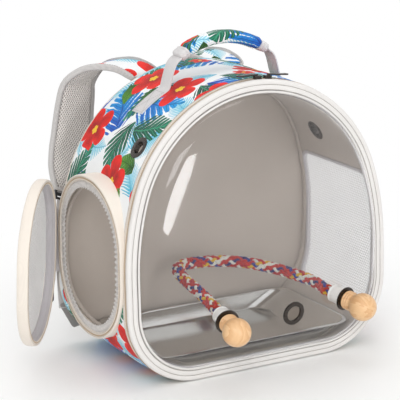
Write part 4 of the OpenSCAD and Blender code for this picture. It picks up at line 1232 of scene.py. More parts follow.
cutters += [lathe(f"vent_cut_{side}", [(10.1, -20), (10.1, 20)], vent_matrix(a, y), [LINING], sides=40)
    for side, a, y in VENTS]
cut_by(wall, cutters)
for face in wall.data.polygons:
    middle = np.array(face.center) / MM
    if middle[0] < 0 and reach(middle[1:] - [DOOR_Y, DOOR_Z], DOOR_HW, DOOR_HH, DOOR_R) < -3:
        face.material_index = 1
finish_piece(wall, "root", ["body_gusset"])

# %% [markdown]
# ## Zip, border and piping round the front
# A profile of inset and depth is carried round the outline. The fixed tape carries one row of zip teeth, the
# window's padded border the other. The border has a round bead on its outer edge, a sewn groove, a flat band
# and a second groove, and inside it runs a thin piping. The stitches lie in the grooves.

# %% A profile carried round a loop
def on_outline(frame_of=on_front, count=420):
    """Where a profile's points lie round the outline, for a frame that leans."""
    s = np.linspace(0, OUTLINE_LENGTH, count, endpoint=False)

    def place(inset, depth):
        x, z = rim(s, inset)
        return frame_of(x, np.full_like(x, depth), z)

    return place


def around(name, place, profile, materials, wave=0.0, seed=1, sharp=40, point_slot=None):
    """A closed ring of skin: each profile point is an inset and a depth, put in place all round a loop."""
    rings = np.array([place(inset, depth) for inset, depth in profile]).transpose(1, 0, 2)
    if wave:
        away = unit(rings - rings.mean(1, keepdims=True))
        moved = ripple(rings.reshape(-1, 3), 7.0, seed).reshape(rings.shape[:2]) * wave
        rings = rings + away * moved[..., None]
    first = rings[:, 0]
    return skin(name, rings, materials, closed=True, ring_u=lengths(np.concatenate([first, first[:1]])),
        point_v=lengths(np.array(list(profile) + [profile[0]], float)), point_slot=point_slot, sharp=sharp)


def seam_round(place, inset, depth, way=None):
    """A closed seam for stitches: its points and the way out of the cloth there."""
    points = place(inset, depth)
    step = way or (-1.0, 0.0)
    return points, place(inset + step[0], depth + step[1]) - points, True


front, back = on_outline(), on_outline(on_back)
fine_front = on_outline(count=900)
TAPE_PROFILE = [(0.0, 0.9), (0.15, 0.3), (0.8, 0.1), (3.4, 0.1), (3.9, 0.5), (3.9, 6.5), (3.4, 7.0), (0.6,
    7.0),
    (0.1, 6.6), (0.25, 4.3), (0.0, 3.9)]
finish_piece(around("front_zip_tape_sewn", front, TAPE_PROFILE, [CREAM], wave=0.12), "root",
    ["front_zip_tape"])
BORDER_PROFILE = [(0.5, -0.4), (0.1, -1.0), (0.0, -2.2), (0.35, -2.5), (0.0, -3.0), (0.0, -5.2), (0.9, -7.0),
    (2.6, -7.9), (4.6, -7.8), (6.0, -7.0), (6.6, -6.5), (7.2, -7.0), (8.4, -7.7), (10.4, -7.9), (12.3, -7.5),
    (13.2, -6.7), (13.8, -6.2), (14.0, -5.0), (13.8, -1.0), (13.2, -0.4), (7.0, -0.3)]
border = around("window_border_padded", front, BORDER_PROFILE, [BORDER], wave=0.16, seed=4)
finish_piece(border, "window", ["window_border"])
PIPE_PROFILE = [(15.5 + 1.45 * math.cos(a), -7.4 + 1.45 * math.sin(a)) for a in
    np.linspace(0, 2 * math.pi, 12, endpoint=False)]
finish_piece(around("window_piping_cord", front, PIPE_PROFILE, [BORDER], wave=0.06, seed=6), "window",
    ())
FLANGE_PROFILE = [(14.15, -4.2), (14.6, -5.7), (17.0, -5.8), (17.3, -5.4), (17.3, -4.3), (16.8, -4.0)]
finish_piece(around("window_seam_flange", front, FLANGE_PROFILE, [LILAC_GREY]), "window",
    ["window_seam_piping"])

# %% Zip teeth and seams round the front
def teeth(name, seam, shift, body):
    points, out, closed = seam
    seam = (np.roll(points, shift, 0), np.roll(out, shift, 0), closed)
    return stitches(name, [seam], body, ZIP_COIL, pitch=2.2, along=1.15, across=1.5, height=0.95)


teeth("zip_teeth_body", seam_round(fine_front, -0.1, 0.45), 0, "root")
teeth("zip_teeth_window", seam_round(fine_front, -0.1, -0.95), 1, "window")
stitches("front_tape_stitches", [seam_round(fine_front, 0.1, 4.1)], "root")
stitches("border_stitches", [seam_round(fine_front, 0.15, -2.5)], "window")
stitches("border_seams", [seam_round(fine_front, 6.6, -6.6, (0, -1.0)), seam_round(fine_front, 13.0, -6.95,
    (0, -1.0))],
    "window", DARK_THREAD, pitch=2.8, along=2.4, across=0.7)

# %% [markdown]
# ## Back panel, binding and piping
# Inside, the far wall is a smooth taupe panel with a little padding, and the seam round it is covered by a
# soft binding that puckers. Outside, a piping covers the same seam.

# %% Back of the cabin
def panel_rings(start_inset, low, high, swell, frame_of, seed):
    """Rings of a flat padded panel: from the middle of one face round its edge to the middle of the other."""
    s = np.linspace(0, OUTLINE_LENGTH, 260, endpoint=False)
    rows = []
    for face, side in ((low, -1), (high, 1)):
        own = []
        for inward, share in [(i, 1) for i in (0, 0.6, 1.8, 4, 8, 14, 22, 34, 50, 70)] + [(70, k) for k in
                (0.8, 0.6, 0.4, 0.2, 0.02)]:
            x, z = rim(s, start_inset + inward)
            x, z = x * share, CROWN_Z + (z - CROWN_Z) * share
            near = min(1.0, inward / 3.0)
            depth = face - side * 1.2 * (1 - near) ** 2 + side * swell * min(1.0, max(0.0, inward - 2) / 30.0)
            wave = ripple(frame_of(x, np.full_like(x, face), z), 20.0, seed) * 0.5 * min(1.0, inward / 12.0)
            own.append(frame_of(x, depth + wave * (1 if swell else 0), z))
        rows += own[::-1] if side < 0 else own
    return np.array(rows)


panel = skin("back_wall_panel", panel_rings(WALL + 0.3, -4.0, -0.1, 0.5, on_back, 8), [LINING], sharp=60)
finish_piece(panel, "root", ["back_panel"])
PIPING_PROFILE = [(2.5 + 2.4 * math.cos(a), 2.0 + 2.0 * math.sin(a)) for a in
    np.linspace(0, 2 * math.pi, 12, endpoint=False)]
finish_piece(around("back_seam_piping", back, PIPING_PROFILE, [CREAM_PIPING], wave=0.1, seed=9), "root",
    ["back_piping"])

binding_from = rim_at_height(5 + 3 + 24 + 12)
s = np.linspace(binding_from, OUTLINE_LENGTH - binding_from, 420)
wave = 0.9 * np.sin(s / 5.1) + 0.6 * np.sin(s / 2.9 + 1) + 0.5 * np.sin(s / 11.3)
rings = []
for inset, depth, pucker, lift in ((0.35, -4.2, 0, 0), (0.3, -6.0, 0, 0), (0.3, -9.5, 0, 0), (0.7, -10.9, 0,
    0),
        (1.5, -11.0, 0, 0.35), (2.4, -10.4, 0, 0.35), (2.9, -8.8, 0.25, 0.35), (2.5, -7.0, -0.2, 0.35),
        (2.9, -5.6, 0.2, 0.35), (2.2, -4.3, 0, 0.1)):
    x, z = rim(s, WALL + inset + pucker * wave)
    rings.append(on_back(x, depth + lift * wave, z))
binding = skin("inner_binding_puckered", np.array(rings).transpose(1, 0, 2), [LINING], ring_u=np.append(s, 0))
finish_piece(binding, "root", ["inner_seam_binding"])

# %% [markdown]
# ## Net panels
# The door's face and the far side of the wall are net: thin cloth with rows of holes. A Geometry Nodes tree
# stands one small six-sided ring on each cell's centre and merges them into one honeycomb. It is grown flat,
# then bent to its place in code, and given the thickness of a thread.

# %% Geometry Nodes: a honeycomb
net_tree, take, give = new_tree("honeycomb net", [("Pitch", "Float"), ("Hole", "Float"), ("Material",
    "Material")])
t = net_tree
disc = node(t, "GeometryNodeMeshCircle", {"Vertices": 6, "Radius": calc(t, "MULTIPLY", take["Pitch"],
    0.57735)},
    fill_type="NGON").outputs[0]
inner = node(t, "GeometryNodeExtrudeMesh", {"Mesh": disc, "Offset Scale": 0.0}, mode="FACES").outputs
smaller = node(t, "GeometryNodeScaleElements", {"Geometry": inner["Mesh"], "Selection": inner["Top"],
    "Scale": take["Hole"]}, domain="FACE").outputs[0]
ring = node(t, "GeometryNodeDeleteGeometry", {"Geometry": smaller, "Selection": inner["Top"]},
    domain="FACE").outputs[0]
cells = node(t, "GeometryNodeInstanceOnPoints", {"Points": take["Geometry"], "Instance": ring}).outputs[0]
real = node(t, "GeometryNodeRealizeInstances", {"Geometry": cells}).outputs[0]
whole = node(t, "GeometryNodeMergeByDistance", {"Geometry": real,
    "Distance": calc(t, "MULTIPLY", take["Pitch"], 0.02)}).outputs[0]
t.links.new(node(t, "GeometryNodeSetMaterial", {"Geometry": whole, "Material": take["Material"]}).outputs[0],
    give["Geometry"])


SIDE_NET_PITCH, SIDE_NET_HOLE = 4.0, 0.7
DOOR_NET_PITCH, DOOR_NET_HOLE, DOOR_NET_RIM = 3.4, 0.5, 7.5


def net_panel(name, corner_low, corner_high, keep, place, pitch, hole, thick=0.5):
    """A net over part of a flat area in mm, put in place by place(u, v)."""
    step = pitch * math.sqrt(3) / 2
    columns = np.arange(int((corner_high[0] - corner_low[0]) / step) + 1)
    rows = np.arange(int((corner_high[1] - corner_low[1]) / pitch) + 1)
    u = corner_low[0] + columns[:, None] * step + 0 * rows[None]
    v = corner_low[1] + (rows[None] + 0.5 * (columns[:, None] % 2)) * pitch
    flat = np.stack([u.ravel(), v.ravel()], 1)
    flat = flat[keep(flat)]
    source = bpy.data.meshes.new(name)
    source.from_pydata(np.column_stack([flat, np.zeros(len(flat))]) * MM, [], [])
    made = grown(name, source, net_tree, Pitch=pitch * MM, Hole=hole, Material=NET)
    points = np.empty(len(made.data.vertices) * 3)
    made.data.vertices.foreach_get("co", points)
    points = points.reshape(-1, 3) / MM
    made.data.vertices.foreach_set("co", (place(points[:, 0], points[:, 1]) * MM).ravel())
    thread = made.modifiers.new("thread", "SOLIDIFY")
    thread.thickness, thread.offset = thick * MM, 0
    applied(made)
    print(name, "has", len(flat), "cells")
    return made


# %% The net in the far side
def side_place(u, v):
    x, z = rim(u, WALL / 2)
    return np.stack([x, v, z], 1)


def side_keep(flat):
    _, z = rim(flat[:, 0], WALL / 2)
    return reach(np.stack([flat[:, 1], z - MESH_Z], 1), MESH_W / 2, MESH_H / 2, MESH_R) < -1.5


side_net = net_panel("side_net", (float(rim_at_height(MESH_BOTTOM)), -MESH_W / 2),
    (float(rim_at_height(MESH_TOP)), MESH_W / 2), side_keep, side_place,
    SIDE_NET_PITCH, SIDE_NET_HOLE)
finish_piece(side_net, "root", ["side_mesh"])


def at_mesh(inset, depth):
    """Points round the mesh opening; depth counts inwards from the middle of the wall."""
    flat = mesh_loop - inset * mesh_ways + [0, MESH_Z]
    x, z = rim(rim_at_height(flat[:, 1]), WALL / 2 + depth)
    return np.stack([x, flat[:, 0], z], 1)


NET_BINDING = [(-0.9, -3.0), (1.0, -3.4), (3.2, -2.8), (4.0, -1.4), (4.0, 1.4), (3.2, 2.8), (1.0, 3.4), (-0.9,
    3.0)]
finish_piece(around("side_net_binding", at_mesh, NET_BINDING, [LILAC_GREY], wave=0.15, seed=11), "root", ())

# %% [markdown]
# ## The doorway
# A padded collar stands out round the doorway and carries one half of the door's zip. Inside it a gathered
# strip of soft cloth with elastic in its edge closes the gap. The gathers are drawn as waves along the loop
# that grow towards the inner edge, where the elastic pulls them together into small scallops.

# %% The collar and its gathered edge
ON_BODY = 99.0


def at_collar(inset, depth):
    """Points round the doorway; depth counts inwards from the collar's rim, as far as the wall."""
    flat = door_loop - inset * door_ways + [DOOR_Y, DOOR_Z]
    on_wall = -rim(rim_at_height(flat[:, 1]))[0] + 0.6
    return np.stack([np.minimum(COLLAR_X + depth, on_wall), flat[:, 0], flat[:, 1]], 1)


COLLAR_PROFILE = [(0.2, ON_BODY), (0.0, 3.0), (0.1, 1.3), (0.7, 0.4), (1.8, 0.0), (2.8, 0.1), (3.1, 0.8),
    (5.3, 0.8), (5.6, 0.1), (6.8, 0.0), (7.6, 0.4), (8.0, 1.5), (8.0, ON_BODY)]
collar = around("door_collar_padded", at_collar, COLLAR_PROFILE, [CREAM], wave=0.12, seed=12)
finish_piece(collar, "root", ["door_collar"])
teeth("collar_zip_teeth", seam_round(at_collar, 4.2, 0.45, (0, -1.0)), 0, "root")
stitches("collar_stitches", [seam_round(at_collar, 6.9, 0.05, (0, -1.0)), seam_round(at_collar, 2.2, 0.0, (0,
    -1.0))],
    "root")

turn = lengths(np.concatenate([door_loop, door_loop[:1]]))
GATHERS = round(turn[-1] / 7.2)
fine = np.linspace(0, turn[-1], 1400, endpoint=False)
loop = np.stack([np.interp(fine, turn, np.append(door_loop[:, k], door_loop[0, k])) for k in (0, 1)], 1)
ways = unit(np.stack([np.interp(fine, turn, np.append(door_ways[:, k], door_ways[0, k])) for k in (0, 1)], 1))
phase = fine / turn[-1] * 2 * math.pi * GATHERS
uneven = 0.9 * np.sin(fine / 31) + 0.6 * np.sin(fine / 17 + 2)
fold = np.sin(phase + uneven)
scallop = np.abs(np.sin((phase + uneven) / 2 + 0.8))
RUFFLE = [(7.6, 2.1, 0.1, 0), (9.0, 1.9, 0.5, 0), (10.6, 1.7, 0.9, 0), (12.2, 1.5, 1.0, 0), (13.4, 1.2, 0.8,
    0),
    (14.0, 1.6, 0.7, 0), (14.8, 1.1, 0.5, 0.2), (16.2, 1.2, 0.5, 0.5), (17.3, 2.2, 0.5, 1.0), (16.2, 3.5, 0.6,
    0.5),
    (14.8, 3.6, 0.6, 0.2), (13.4, 3.2, 0.8, 0), (12.2, 3.0, 1.0, 0), (10.6, 2.9, 0.9, 0), (9.0, 2.8, 0.5, 0),
    (7.6, 2.7, 0.1, 0)]
rings = []
for inset, depth, gather, edge in RUFFLE:
    flat = loop - (inset - edge * 2.4 * scallop + edge * 0.8)[:, None] * ways + [DOOR_Y, DOOR_Z]
    rings.append(np.stack([COLLAR_X + depth + 1.6 * gather * fold, flat[:, 0], flat[:, 1]], 1))
ruffle = skin("gathered_door_edge", np.array(rings).transpose(1, 0, 2), [ELASTIC], closed=True, sharp=80)
finish_piece(ruffle, "root", ["door_ruffle"])

# %% [markdown]
# ## The round door
# The door is a shallow cloth dish: a padded wall, a lining sewn into it, a net face and the other half of the
# zip. It is drawn closed, where its outline is the collar's own, and then turned open about the line of its
# cloth hinge, by the angle that it has in the photograph.

# %% Points on the open door
DOOR_OPEN = 37
HINGE_POINT = np.array([COLLAR_X - 3, DOOR_Y + DOOR_HW + 1.5, DOOR_Z])
HINGE_TURN = np.array(Matrix.Rotation(math.radians(DOOR_OPEN), 3, Vector((0.086, 0.051, -1))))


def opened(points):
    return (np.asarray(points, float) - HINGE_POINT) @ HINGE_TURN.T + HINGE_POINT


def at_door(inset, depth):
    """Points round the open door; depth counts outwards from its face."""
    flat = door_loop - inset * door_ways + [DOOR_Y, DOOR_Z]
    return opened(np.stack([np.full(len(flat), DOOR_FACE - depth), flat[:, 0], flat[:, 1]], 1))


# %% The door's wall, lining, zip and net
DOOR_WALL = [(0.5, 0.15), (0.05, 0.9), (-0.3, 4), (-0.5, 7), (-0.3, 10), (0.3, 12.4), (1.4, 13.7), (3.2,
    14.2),
    (5.0, 13.8), (5.7, 12.8), (4.8, 11.8), (3.1, 11.2), (2.9, 6), (2.9, 2.0), (2.6, 0.6), (1.6, 0.1)]
door_wall = around("door_wall_padded", at_door, DOOR_WALL, [CREAM], wave=0.22, seed=14)
finish_piece(door_wall, "side_door", ["door_wall"])
DOOR_TAPE = [(2.5, 0.2), (3.2, 0.15), (5.6, 0.2), (6.1, 0.6), (6.0, 1.3), (5.4, 1.5), (2.6, 1.4)]
finish_piece(around("door_zip_tape_sewn", at_door, DOOR_TAPE, [CREAM], wave=0.08), "side_door",
    ["door_zip_tape"])
teeth("door_zip_teeth", seam_round(at_door, 4.2, 0.35, (0, -1.0)), 0, "side_door")
LINING_PROFILE = [(3.0, 1.6), (4.3, 1.6), (4.7, 3.0), (4.4, 5.0), (4.9, 7.5), (4.7, 10.0), (6.2, 11.6), (8.6,
    12.0),
    (8.8, 12.5), (5.0, 12.7), (3.2, 12.2), (3.2, 6.0)]
finish_piece(around("door_lining_sewn", at_door, LINING_PROFILE, [LILAC_GREY], wave=0.3, seed=15),
    "side_door",
    ["door_lining"])
stitches("door_lining_stitches", [seam_round(at_door, 4.35, 5.0, (1.0, 0)), seam_round(at_door, 7.6, 11.75,
    (0, -1.0))],
    "side_door", GREY_THREAD, pitch=3.6, along=2.4, across=0.6)


def door_net_place(u, v):
    sag = 2.5 * np.clip(1 - (u / DOOR_HW) ** 2, 0, 1) * np.clip(1 - (v / DOOR_HH) ** 2, 0, 1)
    x = DOOR_FACE - 12.7 - sag + 0.4 * ripple(np.stack([u, v, 0 * u], 1), 14.0, 16)
    return opened(np.stack([x, u + DOOR_Y, v + DOOR_Z], 1))


door_net = net_panel("door_net", (-DOOR_HW, -DOOR_HH), (DOOR_HW, DOOR_HH),
    lambda flat: reach(flat, DOOR_HW - DOOR_NET_RIM, DOOR_HH - DOOR_NET_RIM, DOOR_R - DOOR_NET_RIM) < 0,
    door_net_place, DOOR_NET_PITCH, DOOR_NET_HOLE)
finish_piece(door_net, "side_door", ["door_mesh"])

# %% [markdown]
# ## Cloth hinges
# The door hangs on a short strip of cloth, and the window on a longer one. Each strip is drawn in place
# and is attached to neither body.

# %% The two hinge strips
z_steps = np.linspace(DOOR_Z - 41, DOOR_Z + 41, 42)
fold_line = smooth_path([(-188.6, 88.0, 0), (-190.6, 88.9, 0), (-193.6, 89.7, 0), (-197.0, 90.1, 0),
    (-200.6, 90.5, 0), (-203.6, 92.2, 0), (-205.6, 93.9, 0)], 5)
reach_out = lengths(fold_line)
way, _, normal = path_frames(fold_line, (0, 0, 1.0))
sheets = []
for side in (0.5, -0.5):
    rows = []
    for z in z_steps:
        crease = 0.8 * np.sin(reach_out / 2.1 + z / 9) * np.sin(math.pi * reach_out / reach_out[-1])
        crease = crease + 0.4 * math.sin(z / 3.3) * np.sin(math.pi * reach_out / reach_out[-1])
        line = fold_line + normal * (side + crease)[:, None]
        line[:, 2] = z + 1.2 * np.sin(reach_out / 4 + z / 30)
        past = max(abs(z - DOOR_Z) - (DOOR_HH - DOOR_R), 0)
        line[:, 1] -= DOOR_R - math.sqrt(DOOR_R**2 - past**2)
        rows.append(line)
    sheets.append(rows)
rings = [np.concatenate([a, b[::-1]]) for a, b in zip(*sheets)]
hinge_cloth = skin("door_hinge_cloth", rings, [LILAC_GREY], sharp=70)
finish_piece(hinge_cloth, None, ["door_hinge_strip"])
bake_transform(hinge_cloth)

foot = np.linspace(-95, 95, 60)
rings = []
for x in foot:
    crease = 0.25 * math.sin(x / 6.0) + 0.2 * math.sin(x / 3.1)
    section = [(-2.4, 3.6), (-1.0, 3.9 + crease), (1.0, 4.2 + crease), (4.0, 4.2), (6.8, 4.2), (6.8, 5.2),
        (4.0, 5.3),
        (1.0, 5.3 + crease), (-1.0, 5.0 + crease), (-2.4, 4.6)]
    rings.append([on_front(x, y, z) for y, z in section])
window_hinge = skin("window_hinge_cloth", rings, [CREAM], sharp=70)
finish_piece(window_hinge, None, ["window_hinge_strip"])
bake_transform(window_hinge)

# %% [markdown]
# ## The steel tray
# A pressed tray has walls that lean, soft bends all round and a rolled rim. It is a stack of rounded
# rectangles from the middle of its floor up the inside, over the rim and down the outside.

# %% Tray
TRAY_Y = -3
TRAY = [(96, 70, 18, 9.3), (108, 80, 22, 9.3), (110.5, 81.6, 24, 9.7), (112.6, 82.4, 25, 11.0),
    (144.6, 82.8, 25, 30.4), (146.0, 83.1, 25.2, 31.6), (147.0, 84, 26, 32.2), (148.2, 85.2, 27.2, 32.3),
    (150.4, 87.4, 29.4, 32.3), (151.6, 88.6, 30.6, 32.1), (152, 89, 31, 31.6), (151.7, 88.7, 30.7, 31.0),
    (150.4, 87.4, 29.4, 31.2), (148.2, 85.2, 27.2, 31.3), (147.0, 84.1, 26.1, 30.9), (145.8, 83.9, 26, 29.6),
    (113.6, 83.5, 26, 10.2), (111.2, 82.7, 25, 8.8), (108, 80.6, 23, 8.3), (96, 70, 18, 8.3)]
rings = []
for half_x, half_y, corner, z in TRAY:
    flat, _ = rounded_loop(half_x, half_y, corner, (14, 20, 12))
    rings.append(np.column_stack([flat + [0, TRAY_Y], np.full(len(flat), z)]))
tray = skin("pressed_tray", rings, [STEEL], sharp=60)
finish_piece(tray, "tray", ["steel_tray"])
board_flat, _ = rounded_loop(95, 86, 6, (6, 20, 16))
rings = [np.column_stack([board_flat * k, np.full(len(board_flat), z)]) for k, z in
    ((0.9, 5.0), (0.985, 5.0), (1.0, 5.6), (1.0, 7.4), (0.985, 8.0), (0.9, 8.0))]
finish_piece(skin("covered_base_board", rings, [BOARD], sharp=60), "root", ["base_board"])

# %% [markdown]
# ## Zip sliders and pulls
# A slider is two small plates on a bridge, with a pin over it, and the pull is a flat stamped tab with a
# hole in its wide end. One stack of rounded rectangles makes the slider. The pull's outline and its hole are
# joined by a ring of faces, with a small bevel on every edge.

# %% Sliders and pulls
SLIDER = [(0.0, 10.0, 8.0), (0.2, 10.7, 8.7), (0.9, 11, 9), (1.2, 10.6, 8.6), (1.35, 9.8, 6.2), (2.2, 9.8,
    6.2),
    (2.35, 10.4, 8.4), (2.7, 11, 9), (3.4, 11, 9), (3.8, 10.2, 8.2), (4.0, 8.6, 6.6)]
PULL_L, PULL_W, PULL_T, PULL_HOLE, NECK_W = 30, 8, 1.8, 1.6, 4


def slider(name, matrix, material, body, node_name):
    rings = []
    for z, length, width in SLIDER:
        flat, _ = rounded_loop(length / 2, width / 2, min(width, length) * 0.32, (6, 3, 3))
        flat[:, 1] *= 1 - 0.16 * (1 - (flat[:, 0] / length * 2) ** 2) * (1 if z > 2.3 else 0)
        rings.append(placed(np.column_stack([flat, np.full(len(flat), z)]), matrix))
    made = skin(name, rings, [material], sharp=40)
    return finish_piece(made, body, [node_name])


def pull(name, matrix, material, body, node_name):
    """A pull that lies along its own +Y from the pin."""
    end = PULL_L - PULL_W / 2
    turn = np.radians(np.linspace(0, 180, 25))
    left = [(-NECK_W / 2 - (PULL_W - NECK_W) / 2 * k, end * k) for k in np.linspace(0.95, 0.04, 12)]
    foot = [(-NECK_W / 2 * c, -0.9 * math.sin(math.acos(c))) for c in np.cos(np.linspace(0, math.pi, 9))]
    outline = np.array([(PULL_W / 2 * math.cos(a),
        end + PULL_W / 2 * math.sin(a)) for a in turn] + left + foot
        + [(-x, y) for x, y in left[::-1]])
    step = np.roll(outline, -1, 0) - np.roll(outline, 1, 0)
    outward = unit(np.stack([step[:, 1], -step[:, 0]], 1))
    round_hole = unit(outline - [0, end])
    rings = []
    for edge, z in ((0.45, 0), (0, 0.4), (0, PULL_T - 0.4), (0.45, PULL_T)):
        rings.append(np.column_stack([outline - outward * edge, np.full(len(outline), z)]))
    for r, z in ((PULL_HOLE + 0.9, PULL_T), (PULL_HOLE + 0.3, PULL_T), (PULL_HOLE, PULL_T - 0.3), (PULL_HOLE,
        0.3),
            (PULL_HOLE + 0.3, 0), (PULL_HOLE + 0.9, 0)):
        rings.append(np.column_stack([round_hole * r + [0, end], np.full(len(outline), z)]))
    made = skin(name, [placed(ring, matrix) for ring in rings], [material], closed=True, sharp=40)
    return finish_piece(made, body, [node_name])


def zip_matrix(angle, lift, turned=0.0):
    """A place on the front zip: X along the tape, Z straight out of the body."""
    a, w = math.radians(angle), math.radians(turned)
    c, s = math.cos(FRONT_LEAN), math.sin(FRONT_LEAN)
    lean = np.array([[1, 0, 0], [0, c, s], [0, -s, c]])
    own = np.array([[math.cos(a), 0, math.sin(a)], [0, 1, 0], [-math.sin(a), 0, math.cos(a)]])
    spin = np.array([[math.cos(w), -math.sin(w), 0], [math.sin(w), math.cos(w), 0], [0, 0, 1]])
    found = np.eye(4)
    found[:3, :3] = lean @ own @ spin
    reach = ARCH_R + lift
    found[:3, 3] = on_front(reach * math.sin(a), -0.15, ARCH_Z + reach * math.cos(a))
    return found


for side, angle, way in (("left", 0.8, 90), ("right", 5.4, -90)):
    slider(f"zip_slider_{side}_cast", zip_matrix(angle, 0.3), GUNMETAL, f"zip_slider_{side}",
        f"zip_slider_{side}")
    pull(f"zip_pull_{side}_stamped", zip_matrix(angle, 4.6, way), GUNMETAL, f"zip_pull_{side}",
        f"zip_pull_{side}")

SLIDER_DROP = 41 + 5.5 + 3
SLIDER_LEAN = math.asin((SLIDER_DROP - (DOOR_HH - DOOR_R)) / DOOR_R)
SLIDER_OUT = np.array([0, math.cos(SLIDER_LEAN), -math.sin(SLIDER_LEAN)])
SLIDER_DOWN = np.array([0, -math.sin(SLIDER_LEAN), -math.cos(SLIDER_LEAN)])
SLIDER_SPOT = np.array([DOOR_FACE - 4.8, DOOR_Y + DOOR_HW - DOOR_R * (1 - math.cos(SLIDER_LEAN)),
    DOOR_Z - SLIDER_DROP])


def door_matrix(point, x_axis, y_axis):
    """A place on the open door, from its place and axes on the closed one."""
    found = np.eye(4)
    axes = np.array([x_axis, y_axis, np.cross(x_axis, y_axis)], float)
    found[:3, :3] = HINGE_TURN @ axes.T
    found[:3, 3] = opened(point)
    return found


slider("door_zip_slider_cast", door_matrix(SLIDER_SPOT + 0.3 * SLIDER_OUT, -SLIDER_DOWN, (1, 0, 0)),
    BLACK_METAL, "door_zip_slider", "door_zip_slider")
pull("door_zip_pull_stamped", door_matrix(SLIDER_SPOT + 4.6 * SLIDER_OUT + 2 * SLIDER_DOWN, (1, 0, 0),
    SLIDER_DOWN),
    BLACK_METAL, "door_zip_pull", "door_zip_pull")

# %% [markdown]
# ## Stuffed pieces
# The grip, the shoulder straps and the pad on the wearer's back are cloth over foam. Each starts a little too
# small, is remeshed into even squares, and is then swollen by a cloth simulation with air pressure inside and
# no gravity, up to a cap that keeps it in its space. The cloth's own directions are measured afterwards, from
# each point's place along the piece, because a remesh removes them.

# %% Swelling by simulation
def mesh_points(made):
    points = np.empty(len(made.data.vertices) * 3)
    made.data.vertices.foreach_get("co", points)
    return points.reshape(-1, 3) / MM


def set_points(made, points):
    made.data.vertices.foreach_set("co", (points * MM).ravel())
    made.data.update()


def swollen(made, voxel, cap, pressure=4.0, last_frame=16):
    even = made.modifiers.new("even", "REMESH")
    even.mode, even.voxel_size = "VOXEL", voxel * MM
    applied(made)
    start = mesh_points(made)
    cover = made.modifiers.new("cover", "CLOTH")
    cover.settings.use_pressure = True
    cover.settings.uniform_pressure_force = pressure
    cover.settings.effector_weights.gravity = 0
    cover.point_cache.frame_start, cover.point_cache.frame_end = 1, last_frame
    for step in range(1, last_frame + 1):
        scene.frame_set(step)
    shaped = made.evaluated_get(bpy.context.evaluated_depsgraph_get())
    swell = mesh_points(shaped) - start
    made.modifiers.remove(cover)
    scene.frame_set(1)
    far = np.linalg.norm(swell, axis=1, keepdims=True)
    print(made.name, "swelled by up to", round(float(far.max()), 1), "mm, capped at", cap)
    set_points(made, start + swell * np.minimum(1, cap / np.maximum(far, 1e-6)))
    finer = made.modifiers.new("finer", "SUBSURF")
    finer.levels = finer.render_levels = 1
    applied(made)
    made.data.shade_smooth()
    return made


def lay_cloth(made, materials, measure):
    """A UV map "cloth" and materials by face: measure gives u, v and the material of corners in their face."""
    mesh = made.data
    corner = np.empty(len(mesh.loops), np.int32)
    mesh.loops.foreach_get("vertex_index", corner)
    total = np.empty(len(mesh.polygons), np.int32)
    mesh.polygons.foreach_get("loop_total", total)
    middle = np.empty(len(mesh.polygons) * 3)
    mesh.polygons.foreach_get("center", middle)
    middle = middle.reshape(-1, 3) / MM
    face = np.repeat(np.arange(len(total)), total)
    u, v, slot = measure(mesh_points(made)[corner], middle[face])
    layer = mesh.uv_layers.new(name="cloth")
    layer.data.foreach_set("uv", (np.stack([u, v], 1) * MM).astype(np.float32).ravel())
    mesh.materials.clear()
    for material in materials:
        mesh.materials.append(material)
    first = np.concatenate([[0], np.cumsum(total)[:-1]])
    mesh.polygons.foreach_set("material_index", np.asarray(slot, np.int32)[first])
    mesh.update()


# %% [markdown]
# ## The carrying handle
# A stuffed grip in the print, a rounded cuff on each end, and one length of webbing on each side that runs
# from its sewn end on the body up into the cuff. The webbing crosses the line about which the handle swings,
# and is drawn in place, attached to no body.

# %% Grip and cuffs
GRIP_Z, GRIP_R, GRIP_HALF, PIVOT_Z = 303, 108, 30, 358.15


def on_grip(angle, out, y):
    """A point beside the grip's centre line, at an angle from its top."""
    a = np.radians(angle)
    return np.stack(np.broadcast_arrays((GRIP_R + out) * np.sin(a), y, GRIP_Z + (GRIP_R + out) * np.cos(a)),
        -1)


def grip_rings(stations, width, thick):
    """Rounded sections along the grip: each station is an angle and a share of the full section."""
    rings = []
    for angle, k in stations:
        section = rounded_section(width * k, thick * k, thick * k * 0.48, 5)
        rings.append(on_grip(angle, section[:, 1], section[:, 0]))
    return rings


stations = [(-29.6, 0.7), (-29.2, 0.88), (-28.4, 0.97)] + [(a, 1.0) for a in np.linspace(-27, 27, 28)]
stations += [(28.4, 0.97), (29.2, 0.88), (29.6, 0.7)]
grip = swollen(skin("stuffed_grip", grip_rings(stations, 26.5, 15.2), [PRINT]), 2.8, 1.3)
points = mesh_points(grip)
around_grip = np.degrees(np.arctan2(points[:, 0], points[:, 2] - GRIP_Z))
pull_in = 0.7 * np.clip(np.abs(around_grip) / GRIP_HALF - 0.6, 0, 1) * np.sin(np.arctan2(points[:, 1],
    np.hypot(points[:, 0], points[:, 2] - GRIP_Z) - GRIP_R) * 9 + 1)
points += unit(points - on_grip(around_grip, 0, 0)) * (pull_in + 0.35 * ripple(points, 6.0, 21))[:, None]
set_points(grip, points)


def grip_measure(corner, middle):
    def turned(p):
        return np.arctan2(p[:, 1], np.hypot(p[:, 0], p[:, 2] - GRIP_Z) - GRIP_R)

    v, reference = turned(corner), turned(middle)
    v = v + 2 * math.pi * np.round((reference - v) / (2 * math.pi))
    return np.arctan2(corner[:, 0], corner[:, 2] - GRIP_Z) * GRIP_R + 300, v * 13 + 60, np.zeros(len(corner))


